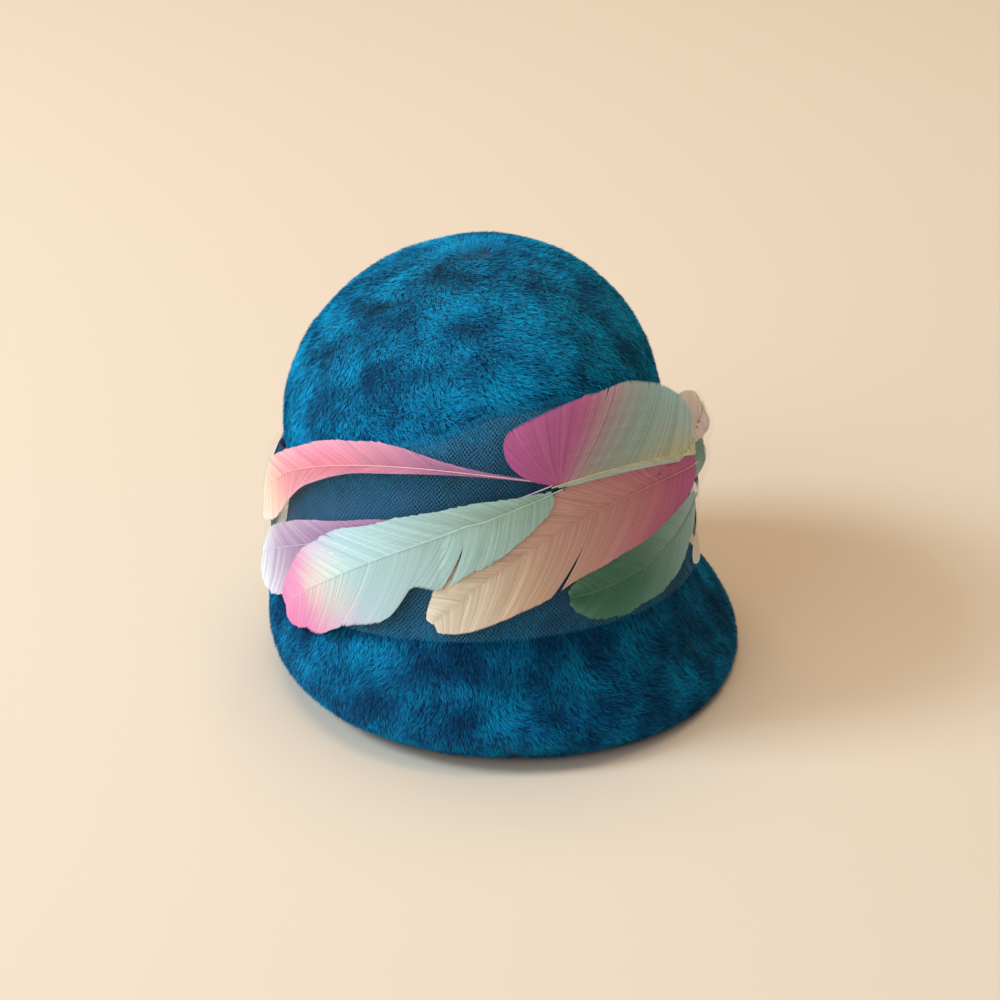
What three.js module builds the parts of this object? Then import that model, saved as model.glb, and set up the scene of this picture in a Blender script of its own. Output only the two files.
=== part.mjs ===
import * as THREE from 'three';

// A cloche hat of fur felt with a wrapped tulle band and a bunch of dyed feathers.
// Lengths are in millimetres. +Z is up, the brim rests on z = 0, and the front of the hat faces -Y.
// The origin is the centre of the hat's footprint on the surface that it stands on.
// Places on the hat are given by a turn, in degrees from the front towards +X, and a height.

// Felt body
const SPRING_HEIGHT = 105;      // where the side of the crown turns into the dome
const DOME_RISE = 80.5;         // from that height to the top of the crown
const DOME_LEAN = 6;            // how far the top of the dome leans towards +X
const FELT_WALL = 4.5;          // felt with its brushed nap
const BRIM_EDGE = 8;            // thickness of the turned-under brim edge
const BRIM_FOOT = 4;            // width of the flat ring that the brim rests on
const BRIM_CORNER = 0.025;      // how much fuller the brim is at its four corners than an ellipse
const BRIM_CORNER_FADE = { from: 6, to: 40 };   // heights over which that fullness fades out
const BRIM_EDGE_FADE = { from: 8, to: 30 };     // heights over which the edge thins to the wall
const TURNS = 48;               // facets round the hat
const WALL_ROWS = 14;
const WALL_ROW_CROWDING = 1.3;  // over 1, the rows stand closer together towards the brim
const DOME_ROWS = 8;

// Outer skin of the felt, by height: the oval's half width and half depth, and how far it leans.
const HAT_SECTIONS = [
  { height: 0, halfWidth: 103.4, halfDepth: 110.5, leanX: 6.2, leanY: 0 },
  { height: 6, halfWidth: 105.0, halfDepth: 120.0, leanX: 3.2, leanY: 0 },
  { height: 14, halfWidth: 105.2, halfDepth: 125.0, leanX: -3.2, leanY: 0 },
  { height: 24, halfWidth: 102.0, halfDepth: 120.5, leanX: -7.4, leanY: 0.5 },
  { height: 36, halfWidth: 97.6, halfDepth: 114.5, leanX: -9.6, leanY: 1.5 },
  { height: 50, halfWidth: 93.2, halfDepth: 109.5, leanX: -10.6, leanY: 3 },
  { height: 70, halfWidth: 89.2, halfDepth: 105.5, leanX: -11.4, leanY: 6 },
  { height: 90, halfWidth: 87.0, halfDepth: 103.5, leanX: -12.4, leanY: 9.5 },
  { height: SPRING_HEIGHT, halfWidth: 86.8, halfDepth: 103.0, leanX: -14.2, leanY: 12 },
];

// Tulle band: its two edges run round the crown, higher at the front than at the back.
const BAND_GAP = 0.6;           // between the felt and the tulle
const BAND_PLIES = 1.0;         // thickness of the wrapped tulle at the front and back
const BAND_PUFF_RIGHT = 11;     // how much fuller it is gathered at the +X side
const BAND_PUFF_LEFT = 1.8;     // and at the -X side
const BAND_PUFF_HEIGHT = 90;    // the height where it is fullest
const BAND_PUFF_SPREAD = 40;
const BAND_LOWER = { back: 36, front: 18, peakTurn: 6, power: 2 };
const BAND_UPPER = { back: 92, front: 56, peakTurn: 20, power: 2 };
const BAND_ROWS = 8;

// Feathers lie on the band in layers, like shingles.
const FEATHER_GAP = 0.35;       // between the band or a lower feather and the next one
const VANE = 0.6;               // thickness of a feather's vane
const RIDGE = 0.3;              // how far the shaft stands above the vane
const LAYER_PITCH = VANE + RIDGE + FEATHER_GAP;
const QUILL_HALF_WIDTH = 0.9;
const FEATHER_STEP = 8.5;       // length of one facet along a feather
const END_CROWDING = 0.5;       // share by which those facets are shorter towards its two ends
const MILLIMETRES_PER_DEGREE = 1.606;           // along the crown, where the feathers lie
const ROOT_LOBE_SHARE = 0.2;    // share of the feather over which its root barbs reach back
const SPRING_START = 0.72;      // share of the feather after which its tip springs outward

// quill and tip are [turn, height]. bow is how far the shaft arches upward at its middle, and upper
// and lower are the widths of the two vanes. upperBelly and lowerBelly say where along the feather
// each vane is widest, and blunt how square its ends are. lobe is how far the root barbs of the upper
// vane reach back past the quill, and springs is how far the tip stands off what it lies on.
const FEATHERS = [
  { name: 'feather_green', layer: 0, quill: [78, 76], tip: [24.5, 67.5], bow: -3, upper: 12, lower: 16,
    upperBelly: 0.5, lowerBelly: 0.4, blunt: 0.45, lobe: 0, springs: 0, colour: '#6f9a8c' },
  { name: 'feather_dove', layer: 0, quill: [-174, 60], tip: [-79, 53], bow: -2, upper: 11, lower: 12,
    upperBelly: 0.6, lowerBelly: 0.6, blunt: 0.5, lobe: 0, springs: 0, colour: '#b9c6cf' },
  { name: 'feather_plum', layer: 0, quill: [-172, 76], tip: [-82, 80], bow: 3, upper: 9, lower: 8,
    upperBelly: 0.6, lowerBelly: 0.6, blunt: 0.5, lobe: 0, springs: 0, colour: '#a98ab5' },
  { name: 'feather_moss', layer: 0, quill: [50, 112], tip: [97, 84], bow: 3, upper: 13, lower: 12,
    upperBelly: 0.6, lowerBelly: 0.6, blunt: 0.5, lobe: 0, springs: 6, colour: '#5d8f86' },
  { name: 'feather_cream', layer: 0, quill: [172, 54], tip: [79, 51], bow: -2, upper: 10, lower: 11,
    upperBelly: 0.65, lowerBelly: 0.65, blunt: 0.5, lobe: 0, springs: 0, colour: '#e6d3bd' },
  { name: 'feather_mist', layer: 1, quill: [174, 64], tip: [83, 68], bow: 3, upper: 14, lower: 13,
    upperBelly: 0.6, lowerBelly: 0.6, blunt: 0.5, lobe: 0, springs: 0, colour: '#ccc8d6' },
  { name: 'feather_lilac', layer: 1, quill: [21, 117.5], tip: [-86, 43], bow: 10, upper: 9, lower: 19,
    upperBelly: 0.72, lowerBelly: 0.78, blunt: 0.5, lobe: 0, springs: 0, colour: '#b7a3d3' },
  { name: 'feather_coral', layer: 1, quill: [77.5, 92], tip: [-12.5, 59.5], bow: 24, upper: 13, lower: 23,
    upperBelly: 0.6, lowerBelly: 0.5, blunt: 0.5, lobe: 0, springs: 0, colour: '#dd9f93' },
  { name: 'feather_rose', layer: 2, quill: [21, 119.5], tip: [-88, 62], bow: 30, upper: 8.5, lower: 8.5,
    upperBelly: 0.58, lowerBelly: 0.8, blunt: 0.5, lobe: 0, springs: 0, colour: '#e394ac' },
  { name: 'feather_dusk', layer: 2, quill: [176, 74], tip: [103, 91], bow: 5, upper: 11, lower: 11,
    upperBelly: 0.6, lowerBelly: 0.6, blunt: 0.5, lobe: 0, springs: 0, colour: '#b8929f' },
  { name: 'feather_blush', layer: 2, quill: [31, 124], tip: [96, 99], bow: 6, upper: 12, lower: 9,
    upperBelly: 0.7, lowerBelly: 0.6, blunt: 0.45, lobe: 0, springs: 5, colour: '#e0c9c4' },
  { name: 'feather_aqua', layer: 2, quill: [22, 115], tip: [-60, 43], bow: 10.5, upper: 15.5, lower: 22,
    upperBelly: 0.7, lowerBelly: 0.55, blunt: 0.42, lobe: 0, springs: 0, colour: '#bcd9d6' },
  { name: 'feather_slate', layer: 3, quill: [146, 76], tip: [212, 56], bow: 2, upper: 13, lower: 13,
    upperBelly: 0.55, lowerBelly: 0.55, blunt: 0.5, lobe: 0, springs: 0, colour: '#7f9fae' },
  { name: 'feather_fan', layer: 3, quill: [23, 118], tip: [75.5, 99.5], bow: 7, upper: 28.5, lower: 3.5,
    upperBelly: 0.5, lowerBelly: 0.6, blunt: 0.35, lobe: 31, springs: 0, colour: '#b79aa3' },
];

const FELT_COLOUR = '#0f6a8c';
const TULLE_COLOUR = '#2f7f93';

const NORMAL_REACH = 0.1;       // step, in degrees and millimetres, by which a normal is measured

const radians = (degrees) => (degrees * Math.PI) / 180;

// The oval of the felt's skin at a height, from a smooth curve through the section table.
function sectionAt(height) {
  const last = HAT_SECTIONS.length - 1;
  let row = HAT_SECTIONS.findIndex((section) => section.height > height) - 1;
  if (row < 0) row = height < HAT_SECTIONS[0].height ? 0 : last - 1;
  const [lower, upper] = [HAT_SECTIONS[row], HAT_SECTIONS[row + 1]];
  const step = upper.height - lower.height;
  const t = THREE.MathUtils.clamp((height - lower.height) / step, 0, 1);
  const slope = (key, index) => {
    const before = HAT_SECTIONS[Math.max(index - 1, 0)];
    const after = HAT_SECTIONS[Math.min(index + 1, last)];
    return (after[key] - before[key]) / (after.height - before.height);
  };
  const blend = (key) =>
    (2 * t ** 3 - 3 * t ** 2 + 1) * lower[key] + (t ** 3 - 2 * t ** 2 + t) * step * slope(key, row)
    + (3 * t ** 2 - 2 * t ** 3) * upper[key] + (t ** 3 - t ** 2) * step * slope(key, row + 1);
  return {
    halfWidth: blend('halfWidth'),
    halfDepth: blend('halfDepth'),
    leanX: blend('leanX'),
    leanY: blend('leanY'),
  };
}

// A point of the felt, inset from its outer skin. climb is 0 to 1 up the dome above the crown's side.
function feltPoint(turn, height, inset = 0, climb = 0) {
  const section = sectionAt(height);
  const angle = radians(turn);
  const low = 1 - THREE.MathUtils.smoothstep(height, BRIM_CORNER_FADE.from, BRIM_CORNER_FADE.to);
  const fullness = 1 + BRIM_CORNER * low * Math.sin(2 * angle) ** 2;
  const reach = fullness * Math.sqrt(Math.max(0, 1 - climb ** 2));
  return new THREE.Vector3(
    section.leanX + DOME_LEAN * climb ** 2 + (section.halfWidth - inset) * reach * Math.sin(angle),
    section.leanY - (section.halfDepth - inset) * reach * Math.cos(angle),
    height + (DOME_RISE - inset) * climb,
  );
}

// A point on the outer skin at any height, and one lifted off it along the skin's normal.
function skinPoint(turn, height) {
  const wallHeight = Math.min(height, SPRING_HEIGHT);
  return feltPoint(turn, wallHeight, 0, (height - wallHeight) / DOME_RISE);
}

function liftedPoint(turn, height, lift) {
  const point = skinPoint(turn, height);
  const along = skinPoint(turn + NORMAL_REACH, height).sub(skinPoint(turn - NORMAL_REACH, height));
  const upward = skinPoint(turn, height + NORMAL_REACH).sub(skinPoint(turn, height - NORMAL_REACH));
  return point.addScaledVector(along.cross(upward).normalize(), lift);
}

// Closed body through a row of loops, which are capped by a fan at each end or joined into a ring.
function loft(loops, { startPoint, endPoint, joined = false }) {
  const size = loops[0].length;
  const points = loops.flat();
  const faces = [];
  const spans = joined ? loops.length : loops.length - 1;
  for (let span = 0; span < spans; span += 1) {
    const here = span * size;
    const next = ((span + 1) % loops.length) * size;
    for (let side = 0; side < size; side += 1) {
      const beside = (side + 1) % size;
      faces.push([here + side, here + beside, next + side], [here + beside, next + beside, next + side]);
    }
  }
  if (!joined) {
    const start = points.push(startPoint) - 1;
    const end = points.push(endPoint) - 1;
    const lastLoop = (loops.length - 1) * size;
    for (let side = 0; side < size; side += 1) {
      const beside = (side + 1) % size;
      faces.push([start, beside, side], [end, lastLoop + side, lastLoop + beside]);
    }
  }
  const volume = faces.reduce(
    (sum, [a, b, c]) => sum + points[a].dot(points[b].clone().cross(points[c])), 0);
  const outward = volume > 0 ? faces : faces.map(([a, b, c]) => [a, c, b]);
  const geometry = new THREE.BufferGeometry();
  const coordinates = points.flatMap((point) => point.toArray());
  geometry.setAttribute('position', new THREE.Float32BufferAttribute(coordinates, 3));
  geometry.setIndex(outward.flat());
  geometry.computeVertexNormals();
  return geometry;
}

function namedMesh(name, geometry, colour, roughness) {
  const material = new THREE.MeshStandardMaterial({ color: colour, roughness, metalness: 0 });
  const mesh = new THREE.Mesh(geometry, material);
  mesh.name = name;
  return mesh;
}

// Felt body: down the outer skin from the top, round the brim's foot and up the inner skin.
function feltBody() {
  const turns = Array.from({ length: TURNS }, (_, index) => (360 * index) / TURNS);
  const ring = (height, inset, climb = 0) => turns.map((turn) => feltPoint(turn, height, inset, climb));
  const climbs = Array.from({ length: DOME_ROWS - 1 }, (_, index) =>
    Math.cos((Math.PI / 2) * ((index + 1) / DOME_ROWS)));
  const heights = Array.from({ length: WALL_ROWS }, (_, index) =>
    SPRING_HEIGHT * (1 - index / WALL_ROWS) ** WALL_ROW_CROWDING);
  const insetAt = (height) => {
    const thinned = THREE.MathUtils.smoothstep(height, BRIM_EDGE_FADE.from, BRIM_EDGE_FADE.to);
    return THREE.MathUtils.lerp(BRIM_EDGE, FELT_WALL, thinned);
  };
  const loops = [
    ...climbs.map((climb) => ring(SPRING_HEIGHT, 0, climb)),
    ...heights.map((height) => ring(height, 0)),
    ring(0, 0),
    ring(0, BRIM_FOOT),
    ...heights.toReversed().map((height) => ring(height, insetAt(height))),
    ...climbs.toReversed().map((climb) => ring(SPRING_HEIGHT, FELT_WALL, climb)),
  ];
  const startPoint = feltPoint(0, SPRING_HEIGHT, 0, 1);
  const endPoint = feltPoint(0, SPRING_HEIGHT, FELT_WALL, 1);
  return namedMesh('felt_body', loft(loops, { startPoint, endPoint }), FELT_COLOUR, 0.95);
}

// How far the outside of the tulle band lies off the felt.
function bandLift(turn, height) {
  const side = Math.sin(radians(turn));
  const puff = side > 0 ? BAND_PUFF_RIGHT : BAND_PUFF_LEFT;
  const rise = Math.exp(-(((height - BAND_PUFF_HEIGHT) / BAND_PUFF_SPREAD) ** 2));
  return BAND_GAP + BAND_PLIES + puff * Math.abs(side) ** 3 * rise;
}

function bandEdge(edge, turn) {
  const facing = (1 + Math.cos(radians(turn - edge.peakTurn))) / 2;
  return edge.back + edge.front * facing ** edge.power;
}

function tulleBand() {
  const loops = Array.from({ length: TURNS }, (_, index) => {
    const turn = (360 * index) / TURNS;
    const lower = bandEdge(BAND_LOWER, turn);
    const upper = bandEdge(BAND_UPPER, turn);
    const heights = Array.from({ length: BAND_ROWS + 1 }, (__, row) =>
      lower + ((upper - lower) * row) / BAND_ROWS);
    const outside = heights.map((height) => liftedPoint(turn, height, bandLift(turn, height)));
    const inside = heights.map((height) => liftedPoint(turn, height, BAND_GAP));
    return [...outside, ...inside.reverse()];
  });
  return namedMesh('tulle_band', loft(loops, { joined: true }), TULLE_COLOUR, 0.8);
}

// How wide a vane is at a share of the feather's length, as a share of its widest.
function vaneShape(share, belly, blunt) {
  const root = (blunt * belly) / (1 - belly);
  const widest = belly ** root * (1 - belly) ** blunt;
  return (share ** root * (1 - share) ** blunt) / widest;
}

function centreOf(points) {
  const sum = points.reduce((total, point) => total.add(point), new THREE.Vector3());
  return sum.divideScalar(points.length);
}

// The feather is laid out flat, in millimetres along the crown and up it, and then wrapped on.
function featherSolid(feather) {
  const flat = ([turn, height]) => new THREE.Vector2(turn * MILLIMETRES_PER_DEGREE, height);
  const quill = flat(feather.quill);
  const tip = flat(feather.tip);
  const chord = tip.clone().sub(quill);
  const upward = new THREE.Vector2(-chord.y, chord.x).normalize();
  if (upward.y < 0) upward.negate();
  const middle = quill.clone().add(tip).multiplyScalar(0.5).addScaledVector(upward, 2 * feather.bow);
  const shaft = new THREE.QuadraticBezierCurve(quill, middle, tip);
  const steps = Math.ceil(chord.length() / FEATHER_STEP);
  const bottom = FEATHER_GAP + feather.layer * LAYER_PITCH;

  const wrapped = (point, share, thickness) => {
    const turn = point.x / MILLIMETRES_PER_DEGREE;
    const sprung = feather.springs * Math.max(0, (share - SPRING_START) / (1 - SPRING_START)) ** 2;
    return liftedPoint(turn, point.y, bandLift(turn, point.y) + bottom + sprung + thickness);
  };

  const loops = Array.from({ length: steps + 1 }, (_, index) => {
    const even = index / steps;
    const crowded = (1 - Math.cos(Math.PI * even)) / 2;
    const share = THREE.MathUtils.lerp(even, crowded, END_CROWDING);
    const root = shaft.getPoint(share);
    const heading = shaft.getTangent(share);
    const side = new THREE.Vector2(-heading.y, heading.x);
    if (side.dot(upward) < 0) side.negate();
    const nearRoot = Math.min(1, share / ROOT_LOBE_SHARE);
    const lobe = feather.lobe * 4 * nearRoot * (1 - nearRoot);
    const upper = QUILL_HALF_WIDTH + feather.upper * vaneShape(share, feather.upperBelly, feather.blunt);
    const lower = QUILL_HALF_WIDTH + feather.lower * vaneShape(share, feather.lowerBelly, feather.blunt);
    const upperEdge = root.clone().addScaledVector(side, upper).addScaledVector(heading, -lobe);
    const lowerEdge = root.clone().addScaledVector(side, -lower);
    const vane = (edge, pieces) => Array.from({ length: pieces }, (__, piece) =>
      ({ point: edge.clone().lerp(root, piece / pieces), thickness: VANE }));
    const across = [
      ...vane(lowerEdge, Math.ceil(feather.lower / FEATHER_STEP)),
      { point: root, thickness: VANE + RIDGE },
      ...vane(upperEdge, Math.ceil(feather.upper / FEATHER_STEP)).reverse(),
    ];
    const top = across.map(({ point, thickness }) => wrapped(point, share, thickness));
    const under = across.map(({ point }) => wrapped(point, share, 0));
    return [...top, ...under.reverse()];
  });
  const ends = { startPoint: centreOf(loops[0]), endPoint: centreOf(loops[steps]) };
  return namedMesh(feather.name, loft(loops, ends), feather.colour, 0.6);
}

const hat = new THREE.Group();
hat.add(feltBody());
hat.add(tulleBand());
for (const feather of FEATHERS) {
  hat.add(featherSolid(feather));
}

export default hat;
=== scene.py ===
"""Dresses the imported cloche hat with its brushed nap, tulle plies and dyed feathers.

Lengths are in metres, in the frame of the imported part: +Z is up, the brim rests on z = 0 and the front
of the hat faces -Y. A place on the hat is a turn, in degrees from the front towards +X, and a height.
"""

from __future__ import annotations

import logging
import math
from dataclasses import dataclass, field
from enum import Enum

import bpy
import numpy as np
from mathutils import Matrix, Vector

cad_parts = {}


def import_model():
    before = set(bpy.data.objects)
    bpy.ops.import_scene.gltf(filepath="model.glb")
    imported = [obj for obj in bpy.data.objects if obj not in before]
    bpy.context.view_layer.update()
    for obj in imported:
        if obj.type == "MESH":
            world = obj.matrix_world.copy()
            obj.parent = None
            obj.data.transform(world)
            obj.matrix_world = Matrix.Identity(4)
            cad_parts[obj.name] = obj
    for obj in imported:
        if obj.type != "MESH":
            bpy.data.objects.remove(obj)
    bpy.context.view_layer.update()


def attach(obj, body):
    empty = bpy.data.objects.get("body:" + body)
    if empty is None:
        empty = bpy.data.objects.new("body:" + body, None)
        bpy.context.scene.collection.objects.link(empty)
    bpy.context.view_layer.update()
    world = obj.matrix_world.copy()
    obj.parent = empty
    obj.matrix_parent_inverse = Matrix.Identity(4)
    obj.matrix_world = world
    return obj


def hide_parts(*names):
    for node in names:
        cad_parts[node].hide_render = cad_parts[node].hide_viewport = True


LOG = logging.getLogger("cloche_hat")
BODY = "root"
BAKE_MAP = "OFBake"
MILLIMETRE = 0.001
MIDDLE_GREY = (0.5, 0.5, 0.5)
SHORTEST = 1e-12

# Places from 0 to 1 along a colour ramp, each with its screen colour.
Stops = tuple[tuple[float, str], ...]


class Vane(Enum):
    """The two sides of a feather's shaft."""

    UPPER = 1
    LOWER = -1


def linear_colour(code: str) -> tuple[float, float, float, float]:
    """Turns a screen colour into the linear colour that a shader takes.

    Args:
        code: The colour as a hash sign and six hexadecimal digits.

    Returns:
        Red, green, blue and an alpha of one.
    """
    channels = [int(code[start : start + 2], 16) / 255 for start in (1, 3, 5)]
    red, green, blue = (
        value / 12.92 if value <= 0.04045 else ((value + 0.055) / 1.055) ** 2.4
        for value in channels
    )
    return red, green, blue, 1.0


def darker(code: str, share: float) -> tuple[float, float, float, float]:
    """Turns a screen colour into the linear colour of a share of its light."""
    red, green, blue, _ = linear_colour(code)
    return share * red, share * green, share * blue, 1.0


def smoothstep(value: np.ndarray, low: float, high: float) -> np.ndarray:
    """Returns a smooth ramp of value from 0 at low to 1 at high."""
    share = np.clip((value - low) / (high - low), 0, 1)
    return share * share * (3 - 2 * share)


def unit(vectors: np.ndarray) -> np.ndarray:
    """Returns the vectors along the last axis at length one."""
    lengths = np.linalg.norm(vectors, axis=-1, keepdims=True)
    return vectors / np.maximum(lengths, SHORTEST)


class NodeBench:
    """Adds nodes to one node tree and joins them."""

    def __init__(self, tree: bpy.types.NodeTree) -> None:
        """Keeps the tree that the nodes go into."""
        self.tree = tree

    def add(self, kind: str, **settings: object) -> bpy.types.Node:
        """Adds a node.

        Args:
            kind: The node's type name.
            **settings: Values of the node's own properties.

        Returns:
            The new node.
        """
        node = self.tree.nodes.new(kind)
        for name, value in settings.items():
            setattr(node, name, value)
        return node

    def feed(self, node: bpy.types.Node, **inputs: object) -> bpy.types.Node:
        """Sets or joins a node's inputs.

        Args:
            node: The node whose inputs are fed.
            **inputs: An output socket or a value for each input, named in lower case with underscores.

        Returns:
            The same node.
        """
        for name, value in inputs.items():
            wanted = name.replace("_", " ")
            socket = next(s for s in node.inputs if s.enabled and s.name.lower() == wanted)
            if isinstance(value, bpy.types.NodeSocket):
                self.tree.links.new(value, socket)
            else:
                socket.default_value = value
        return node

    def out(self, node: bpy.types.Node, name: str) -> bpy.types.NodeSocket:
        """Returns a node's enabled output of that name."""
        return next(s for s in node.outputs if s.enabled and s.name == name)

    def math(self, operation: str, *values: object, clamp: bool = False) -> bpy.types.NodeSocket:
        """Adds a Math node.

        Args:
            operation: The operation's name.
            *values: Sockets or numbers for its inputs, in order.
            clamp: Whether the result stays between 0 and 1.

        Returns:
            The result's socket.
        """
        node = self.add("ShaderNodeMath", operation=operation, use_clamp=clamp)
        self._fill(node, values)
        return node.outputs[0]

    def vector(self, operation: str, *values: object) -> bpy.types.NodeSocket:
        """Adds a Vector Math node.

        Args:
            operation: The operation's name.
            *values: Sockets, vectors or numbers for its inputs, in order.

        Returns:
            The result's socket.
        """
        node = self.add("ShaderNodeVectorMath", operation=operation)
        if operation == "SCALE":
            self._fill(node, values[:1])
            self.feed(node, scale=values[1])
        else:
            self._fill(node, values)
        return node.outputs["Value" if operation in ("DOT_PRODUCT", "LENGTH") else "Vector"]

    def noise(self, place: bpy.types.NodeSocket, scale: object, detail: float) -> bpy.types.Node:
        """Adds a Noise Texture node that is read at a place."""
        return self.feed(self.add("ShaderNodeTexNoise"), vector=place, scale=scale, detail=detail)

    def map_axes(self, name: str) -> tuple[bpy.types.NodeSocket, bpy.types.NodeSocket]:
        """Adds nodes that read a named map, and returns its two axes."""
        place = self.add("ShaderNodeUVMap", uv_map=name).outputs[0]
        split = self.feed(self.add("ShaderNodeSeparateXYZ"), vector=place)
        return split.outputs["X"], split.outputs["Y"]

    def ramp(self, factor: bpy.types.NodeSocket, stops: Stops) -> bpy.types.NodeSocket:
        """Adds a Color Ramp node.

        Args:
            factor: The socket that runs along the ramp.
            stops: The place and colour of each stop.

        Returns:
            The colour's socket.
        """
        node = self.add("ShaderNodeValToRGB")
        elements = node.color_ramp.elements
        for place, code in stops[1:-1]:
            elements.new(place).color = linear_colour(code)
        for index, (place, code) in ((0, stops[0]), (len(elements) - 1, stops[-1])):
            elements[index].position = place
            elements[index].color = linear_colour(code)
        self.tree.links.new(factor, node.inputs[0])
        return node.outputs[0]

    def mix(self, factor: object, first: object, second: object, blend: str = "MIX") -> object:
        """Adds a colour Mix node.

        Args:
            factor: Socket or number for how much of the second is taken.
            first: Socket or linear colour.
            second: Socket or linear colour.
            blend: The blend type's name.

        Returns:
            The mixed colour's socket.
        """
        node = self.add("ShaderNodeMix", data_type="RGBA", blend_type=blend)
        self.feed(node, factor=factor, a=first, b=second)
        return self.out(node, "Result")

    def _fill(self, node: bpy.types.Node, values: tuple[object, ...]) -> None:
        """Sets or joins a node's inputs in order."""
        for socket, value in zip(node.inputs, values):
            if isinstance(value, bpy.types.NodeSocket):
                self.tree.links.new(value, socket)
            else:
                socket.default_value = value


def new_material(name: str) -> tuple[bpy.types.Material, NodeBench, bpy.types.Node]:
    """Makes a material with one Principled shader.

    Args:
        name: The material's name.

    Returns:
        The material, a bench for its node tree and the shader's node.
    """
    material = bpy.data.materials.new(name)
    material.use_nodes = True
    bench = NodeBench(material.node_tree)
    shader = material.node_tree.nodes["Principled BSDF"]
    return material, bench, shader


def new_group(name: str, inputs: dict[str, tuple[str, float]], outputs: dict[str, str]) -> NodeBench:
    """Makes an empty shader node group with named sockets.

    Args:
        name: The group's name.
        inputs: The type and first value of each input, by name.
        outputs: The type of each output, by name.

    Returns:
        A bench for the group's tree.
    """
    tree = bpy.data.node_groups.new(name, "ShaderNodeTree")
    for label, (kind, value) in inputs.items():
        socket = tree.interface.new_socket(name=label, in_out="INPUT", socket_type=kind)
        if kind == "NodeSocketFloat":
            socket.default_value = value
    for label, kind in outputs.items():
        tree.interface.new_socket(name=label, in_out="OUTPUT", socket_type=kind)
    return NodeBench(tree)


def new_piece(name: str, mesh: bpy.types.Mesh, material: bpy.types.Material) -> bpy.types.Object:
    """Puts a mesh in the scene as an object at the origin.

    Args:
        name: The object's name.
        mesh: Its mesh, already in place.
        material: The finish of all its faces.

    Returns:
        The new object.
    """
    piece = bpy.data.objects.new(name, mesh)
    mesh.materials.clear()
    mesh.materials.append(material)
    bpy.context.scene.collection.objects.link(piece)
    return piece


def grid_faces(rows: int, columns: int, closed: bool) -> np.ndarray:
    """Lists the four corners of each cell of a grid of points.

    Args:
        rows: Rows of points.
        columns: Points in each row.
        closed: Whether the last point of a row joins the first.

    Returns:
        An array with a row of four point numbers for each cell.
    """
    across = np.arange(columns if closed else columns - 1)
    beside = (across + 1) % columns
    start = np.arange(rows - 1)[:, None] * columns
    corners = (start + across, start + beside, start + columns + beside, start + columns + across)
    return np.stack(corners, axis=-1).reshape(-1, 4)


@dataclass(frozen=True)
class Section:
    """The oval of the felt's outer skin at one height."""

    height: float
    half_width: float
    half_depth: float
    lean_x: float
    lean_y: float


@dataclass(frozen=True)
class BandEdge:
    """One edge of the tulle band: its height at the back, and how much higher it is at its peak."""

    back: float
    front: float
    peak_turn: float


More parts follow.
